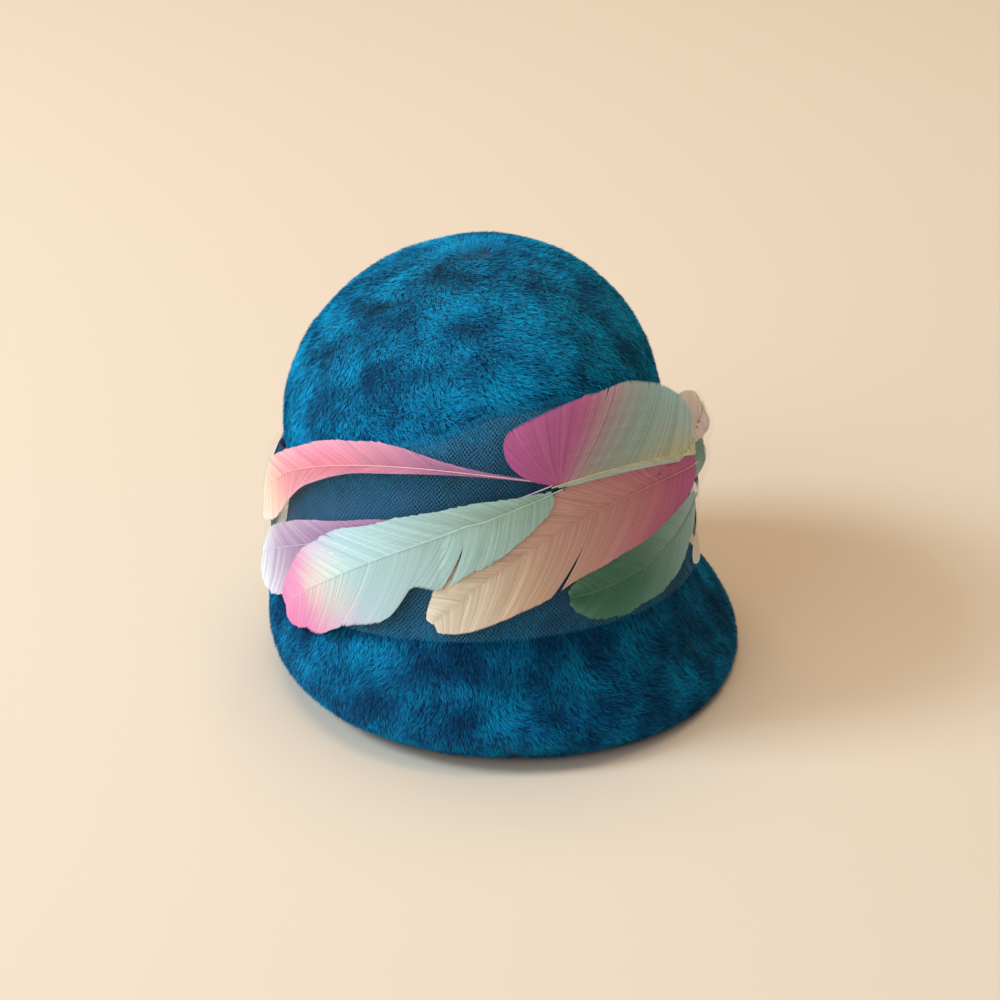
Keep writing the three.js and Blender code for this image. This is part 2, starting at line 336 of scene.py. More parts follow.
@dataclass(frozen=True)
class HatForm:
    """The shape that the part's solids are made to."""

    dome_rise: float = 0.0805
    dome_lean: float = 0.006
    felt_wall: float = 0.0045
    brim_edge: float = 0.008
    brim_corner: float = 0.025
    corner_fade: tuple[float, float] = (0.006, 0.040)
    edge_fade: tuple[float, float] = (0.008, 0.030)
    sections: tuple[Section, ...] = (
        Section(0.000, 0.1034, 0.1105, 0.0062, 0.0000),
        Section(0.006, 0.1050, 0.1200, 0.0032, 0.0000),
        Section(0.014, 0.1052, 0.1250, -0.0032, 0.0000),
        Section(0.024, 0.1020, 0.1205, -0.0074, 0.0005),
        Section(0.036, 0.0976, 0.1145, -0.0096, 0.0015),
        Section(0.050, 0.0932, 0.1095, -0.0106, 0.0030),
        Section(0.070, 0.0892, 0.1055, -0.0114, 0.0060),
        Section(0.090, 0.0870, 0.1035, -0.0124, 0.0095),
        Section(0.105, 0.0868, 0.1030, -0.0142, 0.0120),
    )
    band_gap: float = 0.0006
    band_plies: float = 0.0010
    puff_right: float = 0.011
    puff_left: float = 0.0046
    puff_height: float = 0.090
    puff_spread: float = 0.040
    back_tuck: float = 0.8
    tuck_turns: tuple[float, float] = (86, 116)
    band_lower: BandEdge = BandEdge(back=0.036, front=0.018, peak_turn=6)
    band_upper: BandEdge = BandEdge(back=0.092, front=0.056, peak_turn=20)
    normal_reach: tuple[float, float] = (0.1, 0.0001)

    @property
    def spring_height(self) -> float:
        """The height where the side of the crown turns into the dome."""
        return self.sections[-1].height

    def oval(self, height: np.ndarray) -> tuple[np.ndarray, ...]:
        """Follows a smooth curve through the sections.

        Args:
            height: Heights on the side of the crown or brim.

        Returns:
            Half width, half depth, lean in X and lean in Y at each height.
        """
        rows = np.array(
            [(s.height, s.half_width, s.half_depth, s.lean_x, s.lean_y) for s in self.sections]
        )
        last = len(rows) - 1
        before = rows[np.maximum(np.arange(last + 1) - 1, 0)]
        after = rows[np.minimum(np.arange(last + 1) + 1, last)]
        slopes = (after[:, 1:] - before[:, 1:]) / (after[:, :1] - before[:, :1])
        row = np.clip(np.searchsorted(rows[:, 0], height, side="right") - 1, 0, last - 1)
        step = (rows[row + 1, 0] - rows[row, 0])[..., None]
        t = np.clip((height - rows[row, 0])[..., None] / step, 0, 1)
        values = (
            (2 * t**3 - 3 * t**2 + 1) * rows[row, 1:]
            + (t**3 - 2 * t**2 + t) * step * slopes[row]
            + (3 * t**2 - 2 * t**3) * rows[row + 1, 1:]
            + (t**3 - t**2) * step * slopes[row + 1]
        )
        return tuple(np.moveaxis(values, -1, 0))

    def felt_point(
        self, turn: np.ndarray, height: np.ndarray, inset: np.ndarray, climb: np.ndarray
    ) -> np.ndarray:
        """Gives points of the felt.

        Args:
            turn: Degrees from the front towards +X.
            height: Height on the side of the hat.
            inset: Depth under the outer skin.
            climb: From 0 to 1 up the dome above that height.

        Returns:
            The points, along a new last axis.
        """
        turn, height, inset, climb = np.broadcast_arrays(turn, height, inset, climb)
        half_width, half_depth, lean_x, lean_y = self.oval(height)
        angle = np.radians(turn)
        low = 1 - smoothstep(height, *self.corner_fade)
        reach = 1 + self.brim_corner * low * np.sin(2 * angle) ** 2
        reach = reach * np.sqrt(np.maximum(0, 1 - climb**2))
        x = lean_x + self.dome_lean * climb**2 + (half_width - inset) * reach * np.sin(angle)
        y = lean_y - (half_depth - inset) * reach * np.cos(angle)
        z = height + (self.dome_rise - inset) * climb
        return np.stack((x, y, z), axis=-1)

    def skin(self, turn: np.ndarray, height: np.ndarray, inset: float = 0.0) -> np.ndarray:
        """Gives points on the outer skin, or under it, at any height."""
        wall = np.minimum(height, self.spring_height)
        return self.felt_point(turn, wall, inset, (height - wall) / self.dome_rise)

    def tangents(self, turn: np.ndarray, height: np.ndarray) -> tuple[np.ndarray, np.ndarray]:
        """Gives the skin's unit directions round the hat, towards +turn, and up it."""
        degrees, rise = self.normal_reach
        around = self.skin(turn + degrees, height) - self.skin(turn - degrees, height)
        upward = self.skin(turn, height + rise) - self.skin(turn, height - rise)
        return unit(around), unit(upward)

    def lifted(self, turn: np.ndarray, height: np.ndarray, lift: np.ndarray) -> np.ndarray:
        """Gives points lifted off the outer skin along its normal."""
        around, upward = self.tangents(turn, height)
        normal = unit(np.cross(around, upward))
        return self.skin(turn, height) + normal * np.asarray(lift)[..., None]

    def band_lift(self, turn: np.ndarray, height: np.ndarray) -> np.ndarray:
        """Gives how far the outside of the tulle band lies off the felt's skin."""
        side = np.sin(np.radians(turn))
        puff = np.where(side > 0, self.puff_right, self.puff_left)
        rise = np.exp(-(((height - self.puff_height) / self.puff_spread) ** 2))
        puff = puff * (1 - self.back_tuck * self.behind(turn))
        return self.band_gap + self.band_plies + puff * np.abs(side) ** 3 * rise

    def behind(self, turn: np.ndarray) -> np.ndarray:
        """Gives 1 at turns behind the wearer's ears, where the trim lies flatter, and 0 in front."""
        return smoothstep(180 - np.abs(180 - np.abs(turn) % 360), *self.tuck_turns)

    @staticmethod
    def edge_height(edge: BandEdge, turn: np.ndarray) -> np.ndarray:
        """Gives the height of one edge of the band at each turn."""
        facing = (1 + np.cos(np.radians(turn - edge.peak_turn))) / 2
        return edge.back + edge.front * facing**2


@dataclass(frozen=True)
class FeltFinish:
    """Pressed felt: dense, matt and slightly mottled; its dark colours are partly the dye and partly painted
    shade under the nap and the net.
    """

    # The felt's dye, darkened to paint the shade that falls under the nap and the tulle net.
    colours: Stops = ((0.35, "#022a44"), (0.65, "#054a70"))
    mottle_scale: float = 90.0
    grain_scale: float = 1400.0
    bump: float = 0.0004

    def material(self) -> bpy.types.Material:
        """Builds the felt's material."""
        material, bench, shader = new_material("pressed_felt")
        place = bench.add("ShaderNodeTexCoord").outputs["Object"]
        mottle = bench.noise(place, self.mottle_scale, detail=4.0)
        grain = bench.noise(place, self.grain_scale, detail=3.0)
        blend = bench.math("ADD", mottle.outputs[0], grain.outputs[0])
        colour = bench.ramp(bench.math("MULTIPLY", blend, 0.5), self.colours)
        bump = bench.add("ShaderNodeBump")
        bench.feed(bump, height=grain.outputs[0], strength=0.6, distance=self.bump)
        bench.feed(shader, base_color=colour, normal=bump.outputs[0], roughness=0.92)
        bench.feed(shader, sheen_weight=0.15, sheen_roughness=0.5, specular_ior_level=0.15)
        return material


@dataclass(frozen=True)
class NapFinish:
    """Dyed fur: dark at the root and lighter along each hair; the dark root is partly the dye and partly
    painted shade deep in the pile.
    """

    map_name: str = "NapMap"
    # From the root to the tip; the dark root colour is partly painted shade deep in the pile.
    along: Stops = ((0.0, "#002a48"), (0.4, "#0084b8"), (1.0, "#08baf0"))
    # Multiplies the colour by each hair's tone, which holds painted light and shade of the crown, the brim
    # and the crushed patches as well as each hair's own chance.
    tone: Stops = ((0.0, "#3c5f7a"), (0.5, "#a4bac8"), (1.0, "#ffffff"))
    sheen_tint: tuple[float, float, float, float] = (0.02, 0.7, 1.0, 1.0)

    def material(self) -> bpy.types.Material:
        """Builds the hairs' material, which reads each hair's own tone and the place along it."""
        material, bench, shader = new_material("brushed_nap")
        own_tone, place_along = bench.map_axes(self.map_name)
        along = bench.ramp(place_along, self.along)
        tone = bench.ramp(own_tone, self.tone)
        colour = bench.mix(1.0, along, tone, "MULTIPLY")
        bench.feed(shader, base_color=colour, roughness=0.75, specular_ior_level=0.1)
        bench.feed(shader, sheen_weight=0.3, sheen_roughness=0.35, sheen_tint=self.sheen_tint)
        return material


@dataclass(frozen=True)
class NetFinish:
    """Tulle net: two families of slanting threads with open diamonds between them."""

    name: str
    colour: str
    pitch: float
    thread: float
    slant: float
    cover: float = 1.0
    map_name: str = "NetMap"
    wander_scale: float = 140.0
    wander: float = 0.0016
    shaded: float = 0.6

    @classmethod
    def threads(cls) -> bpy.types.NodeTree:
        """Returns the shared group that masks the threads of a net, and builds it the first time."""
        name = "net_threads"
        if name in bpy.data.node_groups:
            return bpy.data.node_groups[name]
        floats = {"Pitch": 0.0013, "Thread": 0.00016, "Slant": 1.0, "Cover": 1.0}
        inputs = {"Place": ("NodeSocketVector", 0.0)}
        inputs.update({label: ("NodeSocketFloat", value) for label, value in floats.items()})
        bench = new_group(name, inputs, {"Mask": "NodeSocketFloat"})
        given = bench.add("NodeGroupInput").outputs
        drift = bench.noise(given["Place"], cls.wander_scale, detail=2.0)
        shift = bench.vector("SUBTRACT", drift.outputs["Color"], MIDDLE_GREY)
        placed = bench.vector("ADD", given["Place"], bench.vector("SCALE", shift, cls.wander))
        split = bench.feed(bench.add("ShaderNodeSeparateXYZ"), vector=placed)
        cosine = bench.math("COSINE", given["Slant"])
        sine = bench.math("SINE", given["Slant"])
        half = bench.math("DIVIDE", given["Thread"], bench.math("MULTIPLY", given["Pitch"], 2.0))
        masks = []
        for sign in (1.0, -1.0):
            run = bench.math("MULTIPLY", split.outputs["X"], cosine)
            rise = bench.math("MULTIPLY", bench.math("MULTIPLY", split.outputs["Y"], sine), sign)
            turns = bench.math("DIVIDE", bench.math("ADD", run, rise), given["Pitch"])
            part = bench.math("ABSOLUTE", bench.math("SUBTRACT", bench.math("FRACT", turns), 0.5))
            masks.append(bench.math("LESS_THAN", part, half))
        mask = bench.math("MULTIPLY", bench.math("MAXIMUM", *masks), given["Cover"])
        bench.tree.links.new(mask, bench.add("NodeGroupOutput").inputs[0])
        return bench.tree

    def material(self) -> bpy.types.Material:
        """Builds the net's material on the sheet's own map, which is laid out in metres."""
        material, bench, shader = new_material(self.name)
        place = bench.add("ShaderNodeUVMap", uv_map=self.map_name).outputs[0]
        net = bench.add("ShaderNodeGroup", node_tree=self.threads())
        bench.feed(net, place=place, pitch=self.pitch, thread=self.thread)
        bench.feed(net, slant=math.radians(self.slant), cover=self.cover)
        shade = bench.noise(place, scale=60.0, detail=2.0)
        colour = bench.mix(shade.outputs[0], darker(self.colour, self.shaded), linear_colour(self.colour))
        bench.feed(shader, base_color=colour, alpha=net.outputs[0], roughness=0.7)
        bench.feed(shader, specular_ior_level=0.3)
        return material


@dataclass(frozen=True)
class FeatherFinish:
    """Dyed feather: colours that run into each other along its barbs, and a pale shaft."""

    name: str
    dye: Stops
    edge_dye: Stops
    shaft: str
    rim: float = 2.0
    bleed: float = 0.16
    bleed_chance: float = 0.2
    streak: float = 0.42
    shade: Stops = ((0.3, "#9c9c9c"), (0.66, "#ffffff"))
    bundle_scale: float = 0.35
    bundle_share: float = 0.5
    fine_scale: float = 1.6
    chance_share: float = 0.6
    streak_gain: float = 0.48
    map_name: str = "VaneMap"

    @classmethod
    def streaks(cls) -> bpy.types.NodeTree:
        """Returns the shared group that makes streaks along barbs, and builds it the first time."""
        name = "barb_streaks"
        if name in bpy.data.node_groups:
            return bpy.data.node_groups[name]
        inputs = {"Barb": ("NodeSocketFloat", 0.0), "Chance": ("NodeSocketFloat", 0.5)}
        outputs = {"Bundle": "NodeSocketFloat", "Streak": "NodeSocketFloat"}
        bench = new_group(name, inputs, outputs)
        given = bench.add("NodeGroupInput").outputs
        bundle = bench.add("ShaderNodeTexNoise", noise_dimensions="1D")
        bench.feed(bundle, w=given["Barb"], scale=cls.bundle_scale, detail=2.0)
        fine = bench.add("ShaderNodeTexNoise", noise_dimensions="1D")
        bench.feed(fine, w=given["Barb"], scale=cls.fine_scale, detail=2.0)
        own = bench.math("MULTIPLY", given["Chance"], cls.chance_share)
        shared = bench.math("MULTIPLY", bundle.outputs[0], cls.bundle_share)
        total = bench.math("ADD", shared, bench.math("ADD", fine.outputs[0], own))
        streak = bench.math("MULTIPLY", total, cls.streak_gain)
        result = bench.add("NodeGroupOutput")
        bench.tree.links.new(bundle.outputs[0], result.inputs["Bundle"])
        bench.tree.links.new(streak, result.inputs["Streak"])
        return bench.tree

    def material(self) -> bpy.types.Material:
        """Builds the feather's material on its own map and the numbers kept on each barb."""
        material, bench, shader = new_material(f"{self.name}_dye")
        place_along, place_across = bench.map_axes(self.map_name)
        barb, chance, quill = (
            bench.add("ShaderNodeAttribute", attribute_name=name).outputs["Fac"]
            for name in ("barb", "chance", "quill")
        )
        streaks = bench.add("ShaderNodeGroup", node_tree=self.streaks())
        bench.feed(streaks, barb=barb, chance=chance)
        drift = bench.math("SUBTRACT", streaks.outputs["Bundle"], 0.5)
        nudge = bench.math("MULTIPLY", bench.math("SUBTRACT", chance, 0.5), self.bleed_chance)
        moved = bench.math("MULTIPLY", bench.math("ADD", drift, nudge), self.bleed)
        run = bench.math("ADD", place_along, moved, clamp=True)
        reach = bench.math("ABSOLUTE", bench.math("SUBTRACT", place_across, 0.5))
        rim = bench.math("POWER", bench.math("MULTIPLY", reach, 2.0, clamp=True), self.rim)
        vane = bench.mix(rim, bench.ramp(run, self.dye), bench.ramp(run, self.edge_dye))
        shade = bench.ramp(streaks.outputs["Streak"], self.shade)
        streaked = bench.mix(self.streak, vane, shade, "MULTIPLY")
        colour = bench.mix(quill, streaked, linear_colour(self.shaft))
        bench.feed(shader, base_color=colour, roughness=0.55, specular_ior_level=0.35)
        bench.feed(shader, sheen_weight=0.2, sheen_roughness=0.35)
        return material


@dataclass
class FeltShell:
    """The blocked felt under the nap, with its open hollow and its plump brim edge."""

    form: HatForm
    nap_depth: float = 0.0024
    foot_round: float = 0.003
    turns: int = 120
    dome_rows: int = 22
    wall_rows: int = 36
    foot_crowding: float = 1.5
    finish: FeltFinish = field(default_factory=FeltFinish)

    def climbs(self) -> np.ndarray:
        """Gives the places of the dome's rows, from just under the top to just above the side."""
        return np.cos(np.radians(90 * np.arange(1, self.dome_rows) / self.dome_rows))

    def wall_heights(self) -> np.ndarray:
        """Gives the heights of the side's rows, closer together towards the foot."""
        share = 1 - np.arange(self.wall_rows + 1) / self.wall_rows
        return self.form.spring_height * share**self.foot_crowding

    def outer_inset(self, height: np.ndarray) -> np.ndarray:
        """Gives the felt's depth under the nap's tips, rounded at the foot."""
        low = np.clip((self.foot_round - height) / self.foot_round, 0, 1)
        return self.nap_depth + self.foot_round * (1 - np.sqrt(1 - low**2))

    def inner_inset(self, height: np.ndarray) -> np.ndarray:
        """Gives the depth of the hollow's wall under the outer skin."""
        thinned = smoothstep(height, *self.form.edge_fade)
        return self.form.brim_edge + (self.form.felt_wall - self.form.brim_edge) * thinned

    def build(self) -> bpy.types.Object:
        """Lofts the shell from the top, round the foot and up the hollow.

        Returns:
            The shell, which stands for the felt body's solid.
        """
        form = self.form
        turn = 360 * np.arange(self.turns) / self.turns
        climbs = self.climbs()[:, None]
        heights = self.wall_heights()[:, None]
        spring = form.spring_height
        rows = np.concatenate(
            [
                form.felt_point(turn, spring, self.nap_depth, climbs),
                form.felt_point(turn, heights, self.outer_inset(heights), 0),
                form.felt_point(turn, heights[::-1], self.inner_inset(heights[::-1]), 0),
                form.felt_point(turn, spring, form.felt_wall, climbs[::-1]),
            ]
        )
        top = form.felt_point(0, spring, self.nap_depth, 1)
        under = form.felt_point(0, spring, form.felt_wall, 1)
        faces = grid_faces(len(rows), self.turns, closed=True).tolist()
        top_number, under_number = rows.shape[0] * self.turns, rows.shape[0] * self.turns + 1
        last = (rows.shape[0] - 1) * self.turns
        for side in range(self.turns):
            beside = (side + 1) % self.turns
            faces.append((top_number, beside, side))
            faces.append((under_number, last + side, last + beside))
        mesh = bpy.data.meshes.new("felt_shell")
        points = np.concatenate([rows.reshape(-1, 3), top[None], under[None]])
        mesh.from_pydata(points.tolist(), [], faces)
        face_outwards(mesh)
        mesh.shade_smooth()
        shell = new_piece("felt_shell", mesh, self.finish.material())
        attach(shell, BODY)
        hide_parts("felt_body")
        return shell


def face_outwards(mesh: bpy.types.Mesh) -> None:
    """Turns all faces of a closed mesh over where they point inwards."""
    mesh.calc_loop_triangles()
    points = np.array([vertex.co for vertex in mesh.vertices])
    corners = points[np.array([triangle.vertices for triangle in mesh.loop_triangles])]
    volume = np.einsum("ij,ij->", corners[:, 0], np.cross(corners[:, 1], corners[:, 2]))
    if volume < 0:
        mesh.flip_normals()


@dataclass(frozen=True)
class NapPatch:
    """One stretch of the nap, between two turns and on the crown or the brim.

    tone is painted light and shade: how much lighter than the middle tone the patch's hairs are coloured,
    from -1 to 1, lighter on the crown and darker on the brim, following where the light falls.
    """

    name: str
    first_turn: float
    last_turn: float
    on_crown: bool
    tone: float


class NapSeed(Enum):
    """The numbers that fix what is left to chance in the nap."""

    STRAY = 7
    LAY = 11
    ROLL = 13
    SIZE = 17
    TONE = 19


@dataclass(frozen=True)
class Grooming:
    """How the hairs swirl, clump, lie and differ from one another.

    The pairs are the least and the most that a hair can have by chance.
    """

    swirl: float = 3.6
    swirl_detail: float = 2.5
    clump: float = 0.3
    stray: float = 0.3
    ruffle_scale: float = 1.4
    ruffle_detail: float = 2.0
    ruffle_lay: float = 1.1
    # How strongly the patches paint light and shade into the hairs' tone.
    ruffle_painted_shading: float = 2.4
    lay: tuple[float, float] = (0.25, 0.65)
    roll: tuple[float, float] = (-1.0, 1.0)
    size: tuple[float, float] = (0.72, 1.08)
    tone: tuple[float, float] = (0.15, 0.85)


@dataclass
class NapTree:
    """Builds the node tree that plants, combs and joins the hairs."""

    material: bpy.types.Material
    hair: bpy.types.Object
    groom: Grooming = field(default_factory=Grooming)

    def __post_init__(self) -> None:
        """Makes the empty tree, whose named inputs are the nap's sizes."""
        self.tree = bpy.data.node_groups.new("brushed_nap", "GeometryNodeTree")
        face = self.tree.interface
        face.new_socket(name="Geometry", in_out="INPUT", socket_type="NodeSocketGeometry")
        # One named input lightens the crown's hairs and darkens the brim's, as painted light and shade.
        for label in ("Density", "Length", "Lean", "Patch Scale", "Clump Scale", "Tone"):
            face.new_socket(name=label, in_out="INPUT", socket_type="NodeSocketFloat")
        face.new_socket(name="Seed", in_out="INPUT", socket_type="NodeSocketInt")
        face.new_socket(name="Geometry", in_out="OUTPUT", socket_type="NodeSocketGeometry")
        self.bench = NodeBench(self.tree)
        self.given = self.bench.add("NodeGroupInput").outputs
        self.place = self.bench.add("GeometryNodeInputPosition").outputs[0]

    def build(self) -> bpy.types.NodeTree:
        """Fills the tree.

        Returns:
            The finished tree.
        """
        planted = self.planted()
        ruffle = self.ruffle()
        grown = self.grown(planted, self.turned(planted, ruffle))
        joined = self.joined(planted, grown, ruffle)
        self.tree.links.new(joined, self.bench.add("NodeGroupOutput").inputs[0])
        return self.tree

    def attribute(self, name: str, kind: str) -> bpy.types.NodeSocket:
        """Reads a named attribute."""
        node = self.bench.add("GeometryNodeInputNamedAttribute", data_type=kind)
        return self.bench.out(self.bench.feed(node, name=name), "Attribute")

    def chance(self, span: tuple[float, float], seed: NapSeed) -> bpy.types.NodeSocket:
        """Gives each hair its own number between the span's ends."""
        node = self.bench.add("FunctionNodeRandomValue", data_type="FLOAT")
        self.bench.feed(node, min=span[0], max=span[1], seed=seed.value)
        return self.bench.out(node, "Value")

    def planted(self) -> bpy.types.Node:
        """Scatters the roots over the felt, as densely as its cover says."""
        density = self.bench.math("MULTIPLY", self.given["Density"], self.attribute("cover", "FLOAT"))
        node = self.bench.add("GeometryNodeDistributePointsOnFaces", distribute_method="RANDOM")
        self.bench.feed(node, mesh=self.given["Geometry"], seed=self.given["Seed"])
        return self.bench.feed(node, density=density)

    def ruffle(self) -> bpy.types.NodeSocket:
        """Gives the soft patches in which the hairs lie alike; they also paint light and shade into the
        hairs' tone, lighter where the hairs lie flatter.
        """
        scale = self.bench.math("MULTIPLY", self.given["Patch Scale"], self.groom.ruffle_scale)
        return self.bench.noise(self.place, scale, self.groom.ruffle_detail).outputs[0]

    def combed(self) -> bpy.types.NodeSocket:
        """Gives the direction each hair points in: brushed, swirled, clumped and a little astray."""
        bench = self.bench
        swirl = bench.noise(self.place, self.given["Patch Scale"], self.groom.swirl_detail)
        turned = bench.vector("SUBTRACT", swirl.outputs["Color"], MIDDLE_GREY)
        clump = bench.add("ShaderNodeTexVoronoi")
        bench.feed(clump, vector=self.place, scale=self.given["Clump Scale"])
        inward = bench.vector("SUBTRACT", clump.outputs["Position"], self.place)
        inward = bench.vector("SCALE", inward, self.given["Clump Scale"])
        stray = bench.add("FunctionNodeRandomValue", data_type="FLOAT_VECTOR")
        bench.feed(stray, min=(-1, -1, -1), max=(1, 1, 1), seed=NapSeed.STRAY.value)
        direction = self.attribute("comb", "FLOAT_VECTOR")
        pulls = (
            (turned, self.groom.swirl),
            (inward, self.groom.clump),
            (bench.out(stray, "Value"), self.groom.stray),
        )
        for pull, share in pulls:
            direction = bench.vector("ADD", direction, bench.vector("SCALE", pull, share))
        return direction

    def rotated(
        self, rotation: bpy.types.NodeSocket, axis: tuple[int, int, int], angle: bpy.types.NodeSocket
    ) -> bpy.types.NodeSocket:
        """Turns a rotation further about one of its own axes.

        Args:
            rotation: The rotation so far.
            axis: The axis, in the hair's own space.
            angle: The angle in radians.

        Returns:
            The turned rotation.
        """
        step = self.bench.add("FunctionNodeAxisAngleToRotation")
        self.bench.feed(step, axis=axis, angle=angle)
        node = self.bench.add("FunctionNodeRotateRotation", rotation_space="LOCAL")
        self.bench.feed(node, rotation=rotation, rotate_by=step.outputs[0])
        return node.outputs[0]

    def turned(
        self, planted: bpy.types.Node, ruffle: bpy.types.NodeSocket
    ) -> bpy.types.NodeSocket:
        """Stands each hair up, points it, leans it over and rolls it.

        Args:
            planted: The node that scatters the roots.
            ruffle: The soft patches.

        Returns:
            The hairs' rotation.
        """
        bench = self.bench
        upright = bench.add("FunctionNodeAlignRotationToVector", axis="Z")
        bench.feed(upright, vector=planted.outputs["Normal"])
        facing = bench.add("FunctionNodeAlignRotationToVector", axis="X", pivot_axis="Z")
        bench.feed(facing, rotation=upright.outputs[0], vector=self.combed())
        soft = bench.math("MULTIPLY", ruffle, self.groom.ruffle_lay)
        lying = bench.math("ADD", soft, self.chance(self.groom.lay, NapSeed.LAY))
        lying = bench.math("MULTIPLY", lying, self.attribute("lay", "FLOAT"))
        lean = bench.math("MULTIPLY", lying, self.given["Lean"])
        leant = self.rotated(facing.outputs[0], (0, 1, 0), lean)
        return self.rotated(leant, (0, 0, 1), self.chance(self.groom.roll, NapSeed.ROLL))

    def grown(self, planted: bpy.types.Node, rotation: bpy.types.NodeSocket) -> bpy.types.Node:
        """Sets the repeated hair on every root, each at its own size."""
        repeated = self.bench.add("GeometryNodeObjectInfo")
        self.bench.feed(repeated, object=self.hair)
        own_size = self.chance(self.groom.size, NapSeed.SIZE)
        size = self.bench.math("MULTIPLY", self.given["Length"], own_size)
        node = self.bench.add("GeometryNodeInstanceOnPoints")
        self.bench.feed(node, points=planted.outputs["Points"], rotation=rotation)
        return self.bench.feed(node, instance=self.bench.out(repeated, "Geometry"), scale=size)

    def joined(
        self, planted: bpy.types.Node, grown: bpy.types.Node, ruffle: bpy.types.NodeSocket
    ) -> bpy.types.NodeSocket:
        """Notes each hair's tone, which holds painted light and shade, and the felt's normal at its root, and
        joins all hairs.

        Args:
            planted: The node that scatters the roots.
            grown: The node that sets the hairs.
            ruffle: The soft patches.

        Returns:
            The nap's mesh with its finish.
        """
        bench = self.bench
        # Painted light and shade: the patches lighten the hairs that lie flatter and darken the rest, and the
        # patch's shift lightens the crown and darkens the brim; own_tone is each hair's own chance.
        uneven = bench.math("SUBTRACT", ruffle, 0.5)
        uneven = bench.math("MULTIPLY", uneven, self.groom.ruffle_painted_shading)
        own_tone = self.chance(self.groom.tone, NapSeed.TONE)
        shade = bench.math("ADD", bench.math("ADD", uneven, self.given["Tone"]), own_tone)
        geometry = grown.outputs[0]
        notes = (("FLOAT", "tone", shade), ("FLOAT_VECTOR", "outward", planted.outputs["Normal"]))
        for kind, name, value in notes:
            note = bench.add("GeometryNodeStoreNamedAttribute", data_type=kind, domain="INSTANCE")
            geometry = bench.feed(note, geometry=geometry, name=name, value=value).outputs[0]
        whole = bench.feed(bench.add("GeometryNodeRealizeInstances"), geometry=geometry)
        dressed = bench.add("GeometryNodeSetMaterial")
        bench.feed(dressed, geometry=whole.outputs[0], material=self.material)
        return dressed.outputs[0]


